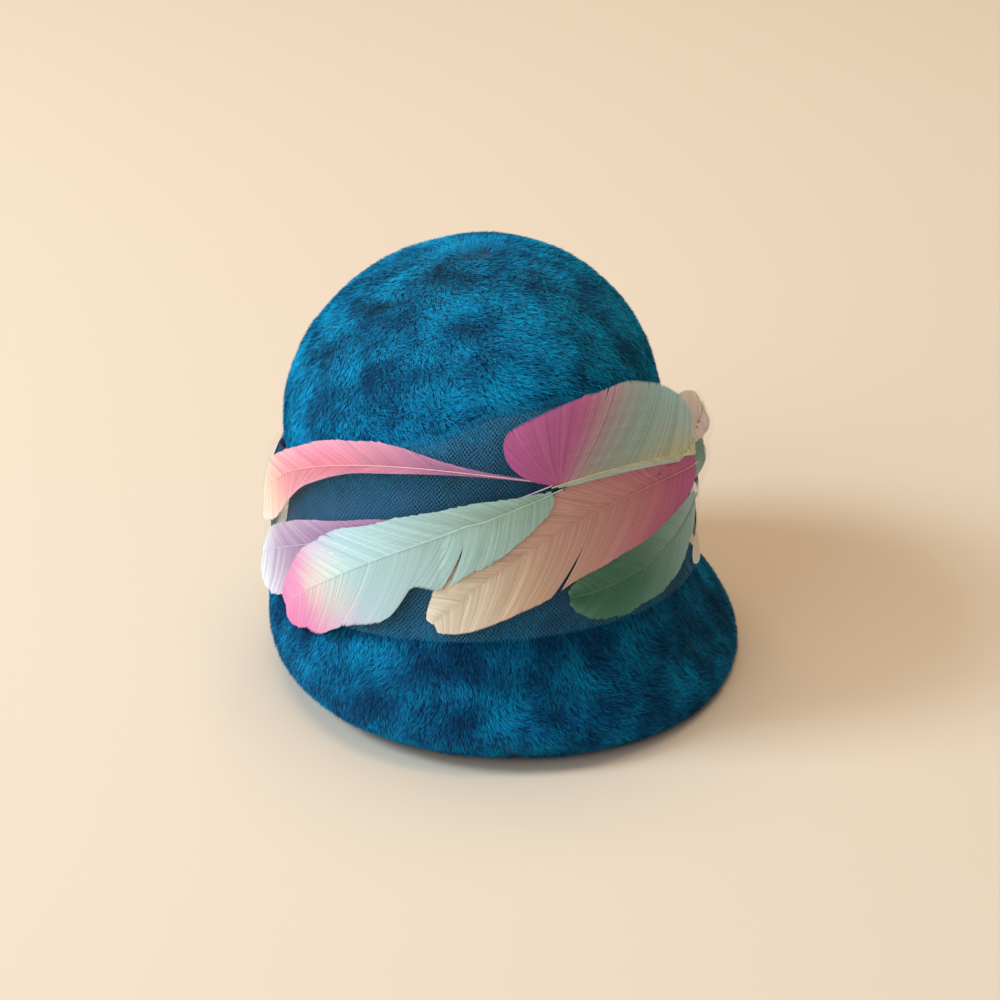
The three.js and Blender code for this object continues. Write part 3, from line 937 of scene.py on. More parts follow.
@dataclass
class BrushedNap:
    """The fur's hairs, which Geometry Nodes set on the felt and comb.

    Turns and drifts are in degrees. A drift is how far the nap is brushed aside from straight down.
    """

    form: HatForm
    shell: FeltShell
    density: float = 3.9e6
    draft_share: float = 0.25
    length: float = 0.0042
    width_share: float = 0.050
    hair_middle: tuple[float, float] = (0.06, 0.5)
    hair_tip: tuple[float, float] = (0.3, 0.93)
    lean: float = 48.0
    patch_scale: float = 40.0
    clump_scale: float = 360.0
    pile_share: float = 0.6
    covered: tuple[float, float] = (-0.014, -0.004)
    pressed: float = 0.5
    pressed_fade: tuple[float, float] = (-0.002, 0.004)
    crown_fade: tuple[float, float] = (0.09, 0.14)
    crown_drift: float = 55.0
    crown_drift_turn: float = -30.0
    side_drift: float = 14.0
    side_waves: int = 3
    parting_drift: float = 75.0
    parting_turn: float = 1.5
    parting_reach: float = 2.5
    parting_width: float = 1.6
    parting_fade: tuple[float, float] = (0.008, 0.026)
    parting_thinned: float = 0.8
    floor_clearance: float = 0.0003
    part_height: float = 0.062
    # Painted light and shade: the crown's hairs are coloured lighter and the brim's darker.
    crown_painted_light: float = 0.08
    brim_painted_shade: float = -0.16
    third: float = 120.0
    thirds: tuple[tuple[str, float], ...] = (("front", -60.0), ("left", 60.0), ("right", 180.0))
    bed_step: float = 2.5
    top_climbs: tuple[float, float] = (0.99995, 0.999)
    lowest_comb: float = 0.0005
    highest_comb: float = 0.98
    map_margin: float = 0.01
    finish: NapFinish = field(default_factory=NapFinish)

    def patches(self) -> list[NapPatch]:
        """Lists the crown's three stretches and then the brim's."""
        return [
            NapPatch(f"nap_{part}_{side}", start, start + self.third, part == "crown", tone)
            for part, tone in (("crown", self.crown_painted_light), ("brim", self.brim_painted_shade))
            for side, start in self.thirds
        ]

    def hair(self) -> bpy.types.Object:
        """Makes one hair of unit length: two triangles that stand up along Z and bend towards X."""
        half = self.width_share / 2
        aside, middle = self.hair_middle
        points = [(0, 0, 0), (aside, half, middle), (aside, -half, middle)]
        points.append((self.hair_tip[0], 0, self.hair_tip[1]))
        mesh = bpy.data.meshes.new("hair")
        mesh.from_pydata(points, [], [(0, 2, 1), (1, 2, 3)])
        along = mesh.attributes.new("along", "FLOAT", "POINT")
        along.data.foreach_set("value", [0.0, 0.5, 0.5, 1.0])
        hair = bpy.data.objects.new("hair", mesh)
        bpy.context.scene.collection.objects.link(hair)
        return hair

    def cover_and_lay(self, turn: np.ndarray, height: np.ndarray) -> tuple[np.ndarray, np.ndarray]:
        """Gives how densely the hairs stand, and how flat they are pressed, at each place."""
        over = height - self.form.edge_height(self.form.band_upper, turn)
        under = self.form.edge_height(self.form.band_lower, turn) - height
        clear = np.maximum(over, under)
        parting = np.exp(-(((turn - self.parting_turn) / self.parting_width) ** 2))
        parting = parting * (1 - smoothstep(height, *self.parting_fade))
        cover = smoothstep(clear, *self.covered) * (1 - self.parting_thinned * parting)
        lay = 1 + self.pressed * (1 - smoothstep(clear, *self.pressed_fade))
        return cover, lay

    def comb(self, turn: np.ndarray, height: np.ndarray) -> np.ndarray:
        """Gives the direction in which the nap is brushed at each place."""
        around, upward = self.form.tangents(turn, height)
        crown = smoothstep(height, *self.crown_fade)
        swept = np.cos(np.radians(turn - self.crown_drift_turn))
        drift = np.radians(self.crown_drift) * swept * crown
        waved = np.sin(np.radians(self.side_waves * turn))
        drift = drift + np.radians(self.side_drift) * waved * (1 - crown)
        away = turn - self.parting_turn
        parted = np.sign(away) * np.exp(-np.abs(away) / self.parting_reach)
        parted = parted * (1 - smoothstep(height, *self.parting_fade))
        drift = drift + np.radians(self.parting_drift) * parted
        return -upward * np.cos(drift)[..., None] + around * np.sin(drift)[..., None]

    def bed_heights(self, patch: NapPatch) -> np.ndarray:
        """Gives the heights of the rows of a patch's felt, from the top down."""
        wall = self.shell.wall_heights()
        if not patch.on_crown:
            return np.append(self.part_height, wall[wall < self.part_height])
        climbs = np.concatenate([self.top_climbs, self.shell.climbs()])
        dome = self.form.spring_height + climbs * self.form.dome_rise
        return np.concatenate([dome, wall[wall > self.part_height], [self.part_height]])

    def bed(self, patch: NapPatch) -> bpy.types.Object:
        """Makes the stretch of felt that a patch of hairs is planted on.

        Args:
            patch: Where the stretch lies.

        Returns:
            An object that carries the hairs' density, lay and combing.
        """
        form = self.form
        spring = form.spring_height
        turn = np.arange(patch.first_turn, patch.last_turn + self.bed_step / 2, self.bed_step)
        heights = self.bed_heights(patch)[:, None]
        inset = np.where(heights < spring, self.shell.outer_inset(heights), self.shell.nap_depth)
        low = np.minimum(heights, spring)
        points = form.felt_point(turn, low, inset, (heights - low) / form.dome_rise)
        turns, levels = np.broadcast_arrays(turn, heights)
        mesh = bpy.data.meshes.new(patch.name)
        faces = grid_faces(*turns.shape, closed=False)
        mesh.from_pydata(points.reshape(-1, 3).tolist(), [], faces.tolist())
        middle = points[len(points) // 2, len(turn) // 2]
        outward = Vector((middle[0], middle[1], 0.0))
        if mesh.polygons[len(mesh.polygons) // 2].normal.dot(outward) < 0:
            mesh.flip_normals()
        cover, lay = self.cover_and_lay(turns, levels)
        top = spring + self.highest_comb * form.dome_rise
        comb = self.comb(turns, np.clip(levels, self.lowest_comb, top))
        for name, values in (("cover", cover), ("lay", lay)):
            mesh.attributes.new(name, "FLOAT", "POINT").data.foreach_set("value", values.ravel())
        mesh.attributes.new("comb", "FLOAT_VECTOR", "POINT").data.foreach_set("vector", comb.ravel())
        bed = bpy.data.objects.new(patch.name, mesh)
        bpy.context.scene.collection.objects.link(bed)
        return bed

    def plant(
        self, patch: NapPatch, tree: bpy.types.NodeTree, material: bpy.types.Material, seed: int
    ) -> bpy.types.Object:
        """Grows one patch of hairs and turns it into a plain mesh.

        Args:
            patch: Where the hairs stand.
            tree: The node tree that plants them.
            material: The hairs' finish.
            seed: The number that fixes their places.

        Returns:
            The finished piece.
        """
        bed = self.bed(patch)
        modifier = bed.modifiers.new("nap", "NODES")
        modifier.node_group = tree
        values = {
            "Density": self.density * 1.0,
            "Length": self.length,
            "Lean": math.radians(self.lean),
            "Patch Scale": self.patch_scale,
            "Clump Scale": self.clump_scale,
            # The patch's painted light and shade, lighter on the crown and darker on the brim.
            "Tone": patch.tone,
            "Seed": seed,
        }
        for item in tree.interface.items_tree:
            if item.in_out == "INPUT" and item.name in values:
                modifier[item.identifier] = values[item.name]
        depsgraph = bpy.context.evaluated_depsgraph_get()
        mesh = bpy.data.meshes.new_from_object(
            bed.evaluated_get(depsgraph), preserve_all_data_layers=True, depsgraph=depsgraph
        )
        mesh.name = patch.name
        self.settle(mesh)
        bpy.data.objects.remove(bed)
        piece = new_piece(patch.name, mesh, material)
        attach(piece, BODY)
        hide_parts("felt_body")
        return piece

    def settle(self, mesh: bpy.types.Mesh) -> None:
        """Keeps the hairs above the floor and lays out each one's own map by tone and place along it."""
        points = np.zeros(len(mesh.vertices) * 3)
        mesh.vertices.foreach_get("co", points)
        points = points.reshape(-1, 3)
        points[:, 2] = np.maximum(points[:, 2], self.floor_clearance)
        mesh.vertices.foreach_set("co", points.ravel())
        values = {}
        for name in ("tone", "along"):
            values[name] = np.zeros(len(mesh.vertices))
            mesh.attributes[name].data.foreach_get("value", values[name])
        corners = np.zeros(len(mesh.loops), dtype=int)
        mesh.loops.foreach_get("vertex_index", corners)
        table = np.stack([values["tone"][corners], values["along"][corners]], axis=-1)
        table = np.clip(table, self.map_margin, 1 - self.map_margin)
        for map_name in (self.finish.map_name, BAKE_MAP):
            mesh.uv_layers.new(name=map_name).data.foreach_set("uv", table.ravel())
        outward = np.zeros(len(mesh.vertices) * 3)
        mesh.attributes["outward"].data.foreach_get("vector", outward)
        shading = self.pile_normals(points, outward.reshape(-1, 3))
        mesh.normals_split_custom_set_from_vertices(shading.tolist())
        for name in ("tone", "along", "cover", "lay", "comb", "outward"):
            if name in mesh.attributes:
                mesh.attributes.remove(mesh.attributes[name])

    def pile_normals(self, points: np.ndarray, outward: np.ndarray) -> np.ndarray:
        """Turns each hair's shading between the felt's own normal and square to the hair.

        Args:
            points: All points of the hairs, four for each hair, from the root to the tip.
            outward: The felt's normal at each hair's root, for each point.

        Returns:
            The shading normal of each point.
        """
        hairs = points.reshape(-1, 4, 3)
        along = unit(hairs[:, 3] - hairs[:, 0]).repeat(4, axis=0)
        square = outward - along * np.einsum("ij,ij->i", outward, along)[:, None]
        return unit(outward * (1 - self.pile_share) + unit(square) * self.pile_share)

    def build(self) -> list[bpy.types.Object]:
        """Grows all patches of the nap.

        Returns:
            One piece for each patch.
        """
        hair = self.hair()
        material = self.finish.material()
        tree = NapTree(material, hair).build()
        pieces = [
            self.plant(patch, tree, material, seed) for seed, patch in enumerate(self.patches(), 1)
        ]
        bpy.data.objects.remove(hair)
        return pieces


@dataclass(frozen=True)
class Split:
    """A gap between two bundles of barbs, open at the vane's edge and closed towards the shaft."""

    vane: Vane
    share: float
    gap: float
    depth: float


@dataclass(frozen=True)
class Nick:
    """A stretch where a vane is worn narrower, as a share of its width."""

    vane: Vane
    share: float
    reach: float
    depth: float


@dataclass(frozen=True)
class FeatherCut:
    """One feather's shape, place and colours.

    quill and tip are a turn and a height. bow is how far the shaft arches upward at its middle, and upper
    and lower are the widths of the two vanes. The bellies say where each vane is widest, and blunt how
    square its ends are. lobe is how far the root barbs reach back, and springs how far the tip stands off.
    fanning, over 0, gathers the barbs' roots at the quill. rim is how closely the edge's dye keeps to it.
    bare is the share of the shaft that has next to no barbs, and worn how uneven the vanes' edges are.
    """

    label: str
    slot_dye: str
    layer: int
    quill: tuple[float, float]
    tip: tuple[float, float]
    bow: float
    upper: float
    lower: float
    upper_belly: float
    lower_belly: float
    dye: Stops
    edge_dye: Stops
    shaft: str
    blunt: float = 0.5
    lobe: float = 0.0
    springs: float = 0.0
    fanning: float = 0.0
    rim: float = 2.0
    bare: float = 0.0
    worn: float = 1.0
    splits: tuple[Split, ...] = ()
    nicks: tuple[Nick, ...] = ()

    @property
    def name(self) -> str:
        """The name of the feather's piece."""
        return f"plume_{self.label}"

    def width_and_belly(self, vane: Vane) -> tuple[float, float]:
        """Gives one vane's width and where it is widest."""
        if vane is Vane.UPPER:
            return self.upper, self.upper_belly
        return self.lower, self.lower_belly


@dataclass(frozen=True)
class Wave:
    """A wave that never quite repeats: a quick one that wanders, times a slow one.

    fast, wander and slow are radians for each millimetre, and phase is where the slow one starts.
    """

    fast: float
    wander: float
    slow: float
    phase: float
    shift: float = 3.0

    def at(self, place: np.ndarray) -> np.ndarray:
        """Gives the wave, from -1 to 1, at each place in millimetres."""
        quick = np.sin(place * self.fast + self.shift * np.sin(place * self.wander))
        return quick * np.sin(place * self.slow + self.phase)


@dataclass(frozen=True)
class VaneSpread:
    """How one vane's barbs are shared out, with a number for each barb.

    samples and run are shares of the shaft and the lengths of edge up to them. places are the barbs' ends
    along the edge. edge_share and root_share say where on the shaft each barb ends and starts.
    """

    samples: np.ndarray
    run: np.ndarray
    places: np.ndarray
    edge_share: np.ndarray
    root_share: np.ndarray

    @property
    def count(self) -> int:
        """How many barbs there are."""
        return len(self.places)

    @property
    def place_mm(self) -> np.ndarray:
        """The barbs' ends along the edge, in millimetres."""
        return self.places / MILLIMETRE


@dataclass(frozen=True)
class FeatherPart:
    """A vane or the shaft: its mesh, and what the finish and the bake map read at each point."""

    points: np.ndarray
    faces: np.ndarray
    dye: np.ndarray
    across: np.ndarray
    barb: np.ndarray
    chance: np.ndarray
    quill: np.ndarray
    column: np.ndarray
    row: np.ndarray


def faced_outwards(points: np.ndarray, faces: np.ndarray) -> np.ndarray:
    """Turns all faces of a strip over where they look at the hat's axis."""
    corners = points[faces]
    facing = np.cross(corners[:, 2] - corners[:, 0], corners[:, 3] - corners[:, 1])
    if np.sum(facing[:, :2] * corners[:, 0, :2]) < 0:
        return faces[:, ::-1]
    return faces


@dataclass
class Feather:
    """A feather of single barbs on a tapering shaft, laid on the tulle band.

    Shares run from 0 at the quill to 1 at the tip, and stations from 0 at the shaft to 1 at the edge. Each
    edge wave is its size, its radians along the shaft and how strongly the feather's own phase shifts it.
    """

    form: HatForm
    cut: FeatherCut
    edge_waves: tuple[tuple[float, float, float], ...] = ((0.05, 13.0, 1.0), (0.03, 29.0, 1.7))
    vane_phase: float = 2.1
    bare_width: float = 0.08
    bare_fade: tuple[float, float] = (0.4, 1.6)
    lobe_fade: tuple[float, float] = (-0.03, 0.12)
    gap: float = 0.00035
    vane: float = 0.0006
    ridge: float = 0.0003
    quill_half_width: float = 0.0009
    metres_per_degree: float = 0.001606
    root_lobe_share: float = 0.2
    spring_start: float = 0.72
    samples: int = 900
    end_share: float = 0.004
    fewest_barbs: int = 40
    pitch: float = 0.00048
    least_spacing: float = 0.00012
    overlap: float = 1.5
    taper_places: tuple[float, ...] = (0.0, 0.85, 0.94, 1.0)
    taper_widths: tuple[float, ...] = (1.0, 1.0, 0.75, 0.12)
    most_sweep: float = 0.24
    least_sweep: float = 0.04
    sweep_for_width: float = 1.15
    barb_bend: float = 0.1
    notch: float = 0.0005
    notch_wave: Wave = Wave(fast=0.7, wander=0.31, slow=0.17, phase=1)
    fray: float = 0.00035
    ripple: float = 0.00014
    ripple_wave: Wave = Wave(fast=0.37, wander=0.11, slow=0.07, phase=2)
    chips: int = 9
    chip_shares: tuple[float, float] = (0.15, 0.97)
    chip_gaps: tuple[float, float] = (0.0002, 0.0007)
    chip_depths: tuple[float, float] = (0.1, 0.35)
    split_reach: float = 0.0045
    camber: float = 0.35
    camber_lean: float = 0.8
    edge_curl: float = 0.0003
    curl_wave: float = 0.13
    curl_phase: float = 5.0
    stray: float = 0.00004
    strip_dye: float = 0.15
    tilt_share: float = 0.3
    front_turn: float = 30.0
    least_lean: float = 0.4
    low_lean: float = 0.5
    back_press: float = 0.4
    barb_offset: float = 500.0
    stations: tuple[float, ...] = (0.0, 0.16, 0.34, 0.52, 0.7, 0.85, 0.94, 1.0)
    shaft_share: float = 0.28
    shaft_start: float = -0.03
    shaft_end: float = 0.985
    shaft_steps: int = 48
    shaft_sides: int = 6
    shaft_tip_share: float = 0.16
    shaft_taper: float = 0.7
    shaft_flatness: float = 0.8
    lanes: tuple[tuple[float, float], ...] = ((0.0, 0.46), (0.47, 0.46), (0.94, 0.06))
    map_margin: float = 0.001
    ribbon_columns: tuple[float, float] = (0.9, 0.1)
    footprint_ends: tuple[float, float] = (0.01, 0.99)
    footprint_shares: int = 160
    footprint_steps: int = 24

    @property
    def bottom(self) -> float:
        """How far the feather's underside lies off the band."""
        return self.gap + self.cut.layer * (self.vane + self.ridge + self.gap)

    @property
    def length(self) -> float:
        """The straight length from the quill to the tip."""
        return np.linalg.norm(self.flat(self.cut.tip) - self.flat(self.cut.quill))

    def flat(self, place: tuple[float, float]) -> np.ndarray:
        """Turns a place on the hat into the flat layout."""
        return np.array([place[0] * self.metres_per_degree, place[1]])

    def shaft_line(self, share: np.ndarray) -> tuple[np.ndarray, np.ndarray, np.ndarray]:
        """Follows the shaft's curve in the flat layout.

        Args:
            share: From 0 at the quill to 1 at the tip.

        Returns:
            The points, the headings and the directions towards the upper vane.
        """
        quill, tip = self.flat(self.cut.quill), self.flat(self.cut.tip)
        chord = tip - quill
        upward = unit(np.array([-chord[1], chord[0]]))
        if upward[1] < 0:
            upward = -upward
        middle = (quill + tip) / 2 + upward * 2 * self.cut.bow
        t = np.asarray(share, dtype=float)[..., None]
        points = (1 - t) ** 2 * quill + 2 * t * (1 - t) * middle + t**2 * tip
        heading = unit(2 * (1 - t) * (middle - quill) + 2 * t * (tip - middle))
        side = np.stack([-heading[..., 1], heading[..., 0]], axis=-1)
        side = np.where((side @ upward)[..., None] < 0, -side, side)
        return points, heading, side

    def outline(self, vane: Vane, share: np.ndarray) -> np.ndarray:
        """Follows the outer edge of one vane in the flat layout."""
        cut = self.cut
        width, belly = cut.width_and_belly(vane)
        root = cut.blunt * belly / (1 - belly)
        widest = belly**root * (1 - belly) ** cut.blunt
        shape = share**root * (1 - share) ** cut.blunt / widest * self.edge_change(vane, share)
        points, heading, side = self.shaft_line(share)
        stem = self.quill_half_width * (smoothstep(share, 0, cut.bare) if cut.bare else 1)
        edge = points + side * vane.value * (stem + width * shape)[..., None]
        if vane is Vane.UPPER:
            near = np.minimum(1, share / self.root_lobe_share)
            edge = edge - heading * (cut.lobe * 4 * near * (1 - near))[..., None]
        return edge

    def edge_change(self, vane: Vane, share: np.ndarray) -> np.ndarray:
        """Gives how much wider or narrower a vane is at each place than its even outline."""
        start = self.cut.tip[0] + self.vane_phase * vane.value
        waves = sum(size * np.sin(often * share + shift * start) for size, often, shift in self.edge_waves)
        change = 1 + self.cut.worn * waves
        for nick in self.cut.nicks:
            if nick.vane is vane:
                change = change - nick.depth * np.exp(-(((share - nick.share) / nick.reach) ** 2))
        if self.cut.bare:
            low, high = (self.cut.bare * part for part in self.bare_fade)
            change = change * (self.bare_width + (1 - self.bare_width) * smoothstep(share, low, high))
        if self.cut.lobe:
            change = change * smoothstep(share, *self.lobe_fade)
        return change

    def underside(self, turn: np.ndarray) -> np.ndarray:
        """Gives how far the feather's underside lies off the band, closer behind."""
        return self.bottom * (1 - self.back_press * self.form.behind(turn))

    def sprung(self, share: np.ndarray) -> np.ndarray:
        """Gives how far the feather stands off towards its tip."""
        late = np.maximum(0, (share - self.spring_start) / (1 - self.spring_start))
        return self.cut.springs * late**2

    def wrapped(self, flat: np.ndarray, share: np.ndarray, lift: np.ndarray) -> np.ndarray:
        """Wraps points of the flat layout onto the band, lifted off the feather's underside."""
        turn = flat[..., 0] / self.metres_per_degree
        height = flat[..., 1]
        lifts = self.form.band_lift(turn, height) + self.underside(turn) + self.sprung(share) + lift
        return self.form.lifted(turn, height, lifts)

    def root_share(self, vane: Vane, edge_share: np.ndarray) -> np.ndarray:
        """Gives where on the shaft each barb starts, nearer the quill than where it ends."""
        if self.cut.fanning:
            return edge_share**self.cut.fanning
        width, _ = self.cut.width_and_belly(vane)
        sweep = min(self.most_sweep, self.sweep_for_width * width / self.length + self.least_sweep)
        roots = np.linspace(0, 1, self.samples)
        reach = roots + sweep * np.sin(np.pi * roots)
        return np.clip(np.interp(edge_share, reach / reach.max(), roots), 0, 1)

    def spread(self, vane: Vane) -> VaneSpread:
        """Shares out one vane's barbs evenly along its edge."""
        samples = np.linspace(self.end_share, 1 - self.end_share, self.samples)
        steps = np.linalg.norm(np.diff(self.outline(vane, samples), axis=0), axis=1)
        run = np.concatenate([[0], np.cumsum(steps)])
        count = max(self.fewest_barbs, int(run[-1] / self.pitch))
        places = (np.arange(count) + 0.5) / count * run[-1]
        edge_share = np.interp(places, run, samples)
        return VaneSpread(samples, run, places, edge_share, self.root_share(vane, edge_share))

    def parted(self, vane: Vane, spread: VaneSpread, chance: np.random.Generator) -> np.ndarray:
        """Gives how far the splits push each barb along the vane's edge, at each station."""
        along = np.array(self.stations)
        splits = [split for split in self.cut.splits if split.vane is vane]
        for share in chance.uniform(*self.chip_shares, self.chips):
            gap = chance.uniform(*self.chip_gaps)
            splits.append(Split(vane, share, gap, chance.uniform(*self.chip_depths)))
        shove = np.zeros((spread.count, len(along)))
        for split in splits:
            away = spread.places - np.interp(split.share, spread.samples, spread.run)
            opened = smoothstep(along, 1 - split.depth, 1.0) * split.gap / 2
            shove += np.sign(away)[:, None] * np.exp(-np.abs(away) / self.split_reach)[:, None] * opened
        return shove

    def centre_lines(
        self, vane: Vane, spread: VaneSpread, chance: np.random.Generator
    ) -> np.ndarray:
        """Draws the barbs' middle lines in the flat layout, bent, frayed and parted at the splits.

        Args:
            vane: The side of the shaft.
            spread: How its barbs are shared out.
            chance: The source of the small differences between barbs.

        Returns:
            A point for each barb and station.
        """
        start, heading, _ = self.shaft_line(spread.root_share)
        end = self.outline(vane, spread.edge_share)
        long = np.linalg.norm(end - start, axis=1)
        bend = start + (end - start) * 0.5 - heading * (self.barb_bend * long)[:, None]
        notches = self.notch * self.notch_wave.at(spread.place_mm)
        ragged = notches + chance.uniform(-self.fray, self.fray / 3, spread.count)
        ragged = self.cut.worn * ragged / np.maximum(long, 4 * self.notch)
        t = np.array(self.stations)[None, :, None]
        t = t * (1 + ragged[:, None, None] * t)
        centre = (1 - t) ** 2 * start[:, None] + 2 * t * (1 - t) * bend[:, None] + t**2 * end[:, None]
        along_edge = unit(np.gradient(end, axis=0))
        return centre + along_edge[:, None] * self.parted(vane, spread, chance)[..., None]

    def half_widths(self, spread: VaneSpread) -> np.ndarray:
        """Gives half the width of each barb's ribbon at each station, so that neighbours overlap."""
        along = np.array(self.stations)
        root_gap = np.abs(np.gradient(spread.root_share)) * self.length
        spacing = root_gap[:, None] * (1 - along) + self.pitch * along
        taper = np.interp(along, self.taper_places, self.taper_widths)
        return np.maximum(spacing, self.least_spacing) * self.overlap / 2 * taper

    def barb_lifts(self, spread: VaneSpread, chance: np.random.Generator) -> np.ndarray:
        """Gives how far each barb lies off the underside: domed, rippled and curled at its edge."""
        along = np.array(self.stations)
        ripple = self.ripple * self.ripple_wave.at(spread.place_mm)[:, None] * np.sin(np.pi * along)
        camber = self.vane * self.camber * (1 + np.sin(np.pi * along**self.camber_lean))
        phase = self.curl_phase * self.cut.tip[1]
        curl = self.edge_curl * (0.5 + 0.5 * np.sin(spread.place_mm * self.curl_wave + phase))
        stray = chance.uniform(-self.stray, self.stray, spread.count)
        return camber + ripple + curl[:, None] * along**2 + stray[:, None]

    def tilts(self, centre: np.ndarray, across: np.ndarray, half: np.ndarray) -> np.ndarray:
        """Gives how far each ribbon's edge is raised, so that it leans to the front of the hat and up."""
        sideways = np.clip(centre[..., 0] / (self.metres_per_degree * self.front_turn), -1, 1)
        backward = across[..., 0] * sideways - self.low_lean * across[..., 1]
        lean = np.where(backward < 0, -1, 1) * np.maximum(np.abs(backward), self.least_lean)
        return self.tilt_share * half * lean

    def dye_places(self, vane: Vane, spread: VaneSpread) -> np.ndarray:
        """Gives each barb's place along the dyes, at each station."""
        along = np.array(self.stations)
        if not self.cut.fanning:
            return spread.root_share[:, None] * (1 - along) + spread.edge_share[:, None] * along
        place = np.repeat(spread.edge_share[:, None], len(along), axis=1)
        return place if vane is Vane.UPPER else 1 - self.strip_dye * (1 - place)

    def barbs(self, vane: Vane, chance: np.random.Generator) -> FeatherPart:
        """Makes one vane's barbs as narrow ribbons.

        Args:
            vane: The side of the shaft.
            chance: The source of the small differences between barbs.

        Returns:
            The vane.
        """
        spread = self.spread(vane)
        along = np.array(self.stations)
        centre = self.centre_lines(vane, spread, chance)
        tangent = unit(np.gradient(centre, axis=1))
        across = np.stack([-tangent[..., 1], tangent[..., 0]], axis=-1)
        half = self.half_widths(spread)
        share_at = spread.root_share[:, None] * (1 - along) + spread.edge_share[:, None] * along
        lift = self.barb_lifts(spread, chance)
        tilt = self.tilts(centre, across, half)
        ribbons = [
            self.wrapped(centre + across * (half * sign)[..., None], share_at, lift + tilt * sign)
            for sign in (1, -1)
        ]
        points = np.stack(ribbons, axis=2).reshape(-1, 3)
        rows = len(along)
        first = np.arange(spread.count)[:, None] * rows * 2 + np.arange(rows - 1)[None] * 2
        faces = np.stack([first, first + 1, first + 3, first + 2], axis=-1).reshape(-1, 4)
        shape = (spread.count, rows, 2)

        def at_points(values: np.ndarray) -> np.ndarray:
            """Gives every point the value of its barb, station or edge."""
            return np.broadcast_to(values, shape).ravel()

        columns = np.arange(spread.count)[:, None, None] + np.array(self.ribbon_columns)
        return FeatherPart(
            points=points,
            faces=faced_outwards(points, faces),
            dye=at_points(self.dye_places(vane, spread)[..., None]),
            across=at_points(0.5 + 0.5 * vane.value * along[:, None]),
            barb=at_points((spread.place_mm + self.barb_offset * vane.value)[:, None, None]),
            chance=at_points(chance.uniform(0, 1, spread.count)[:, None, None]),
            quill=np.zeros(len(points)),
            column=at_points(columns / spread.count),
            row=at_points(along[:, None]),
        )

    def shaft(self) -> FeatherPart:
        """Makes the tapering shaft as a thin tube.

        Returns:
            The shaft.
        """
        share = np.linspace(self.shaft_start, self.shaft_end, self.shaft_steps)
        flat, _, _ = self.shaft_line(share)
        centre = self.wrapped(flat, share, np.full(len(share), self.vane))
        above = self.wrapped(flat, share, np.full(len(share), self.vane + MILLIMETRE))
        normal = unit(above - centre)
        beside = unit(np.cross(unit(np.gradient(centre, axis=0)), normal))
        thinning = (1 - self.shaft_tip_share) * np.maximum(share, 0) ** self.shaft_taper
        radius = self.quill_half_width * self.shaft_share * (1 - thinning)
        angle = 2 * np.pi * np.arange(self.shaft_sides) / self.shaft_sides
        rise = normal[:, None] * (self.shaft_flatness * np.sin(angle)[None, :, None])
        ring = beside[:, None] * np.cos(angle)[None, :, None] + rise
        points = centre[:, None] + ring * radius[:, None, None]
        shares = np.repeat(share, self.shaft_sides)
        return FeatherPart(
            points=points.reshape(-1, 3),
            faces=grid_faces(self.shaft_steps, self.shaft_sides, closed=True),
            dye=shares,
            across=np.full(len(shares), 0.5),
            barb=np.zeros(len(shares)),
            chance=np.full(len(shares), 0.5),
            quill=np.ones(len(shares)),
            column=np.tile(np.arange(self.shaft_sides) / self.shaft_sides, self.shaft_steps),
            row=shares,
        )

    def build(self, seed: int) -> bpy.types.Object:
        """Joins the barbs and the shaft into one piece.

        Args:
            seed: The number that fixes the differences between barbs.

        Returns:
            The feather, which stands for its own solid.
        """
        cut = self.cut
        chance = np.random.default_rng(seed)
        parts = [self.barbs(Vane.UPPER, chance), self.barbs(Vane.LOWER, chance), self.shaft()]

        def joined(name: str) -> np.ndarray:
            """Strings together what the parts hold under one name."""
            return np.concatenate([getattr(part, name) for part in parts])

        offsets = np.cumsum([0] + [len(part.points) for part in parts[:-1]])
        faces = np.concatenate([part.faces + offset for part, offset in zip(parts, offsets)])
        mesh = bpy.data.meshes.new(cut.name)
        mesh.from_pydata(joined("points").tolist(), [], faces.tolist())
        for name in ("barb", "chance", "quill"):
            mesh.attributes.new(name, "FLOAT", "POINT").data.foreach_set("value", joined(name))
        corners = np.zeros(len(mesh.loops), dtype=int)
        mesh.loops.foreach_get("vertex_index", corners)
        finish = FeatherFinish(cut.name, cut.dye, cut.edge_dye, cut.shaft, rim=cut.rim)
        row = np.concatenate([part.row * size + low for part, (low, size) in zip(parts, self.lanes)])
        bake_map = np.stack([joined("column"), row], axis=-1)
        bake_map = np.clip(bake_map, self.map_margin, 1 - self.map_margin)
        vane_map = np.stack([joined("dye"), joined("across")], axis=-1)
        for name, table in ((finish.map_name, vane_map), (BAKE_MAP, bake_map)):
            mesh.uv_layers.new(name=name).data.foreach_set("uv", table[corners].ravel())
        piece = new_piece(cut.name, mesh, finish.material())
        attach(piece, BODY)
        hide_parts(f"feather_{cut.label}")
        return piece

    def footprint(self) -> tuple[np.ndarray, np.ndarray, np.ndarray]:
        """Gives turns, heights and the feather's top over the band, over its whole outline."""
        share = np.linspace(*self.footprint_ends, self.footprint_shares)
        root, _, _ = self.shaft_line(share)
        turns, heights, tops = [], [], []
        for vane in Vane:
            edge = self.outline(vane, share)
            for step in np.linspace(0, 1, self.footprint_steps):
                place = root + (edge - root) * step
                turns.append(place[:, 0] / self.metres_per_degree)
                heights.append(place[:, 1])
                tops.append(self.underside(turns[-1]) + self.vane + self.ridge + self.sprung(share))
        return np.concatenate(turns), np.concatenate(heights), np.concatenate(tops)


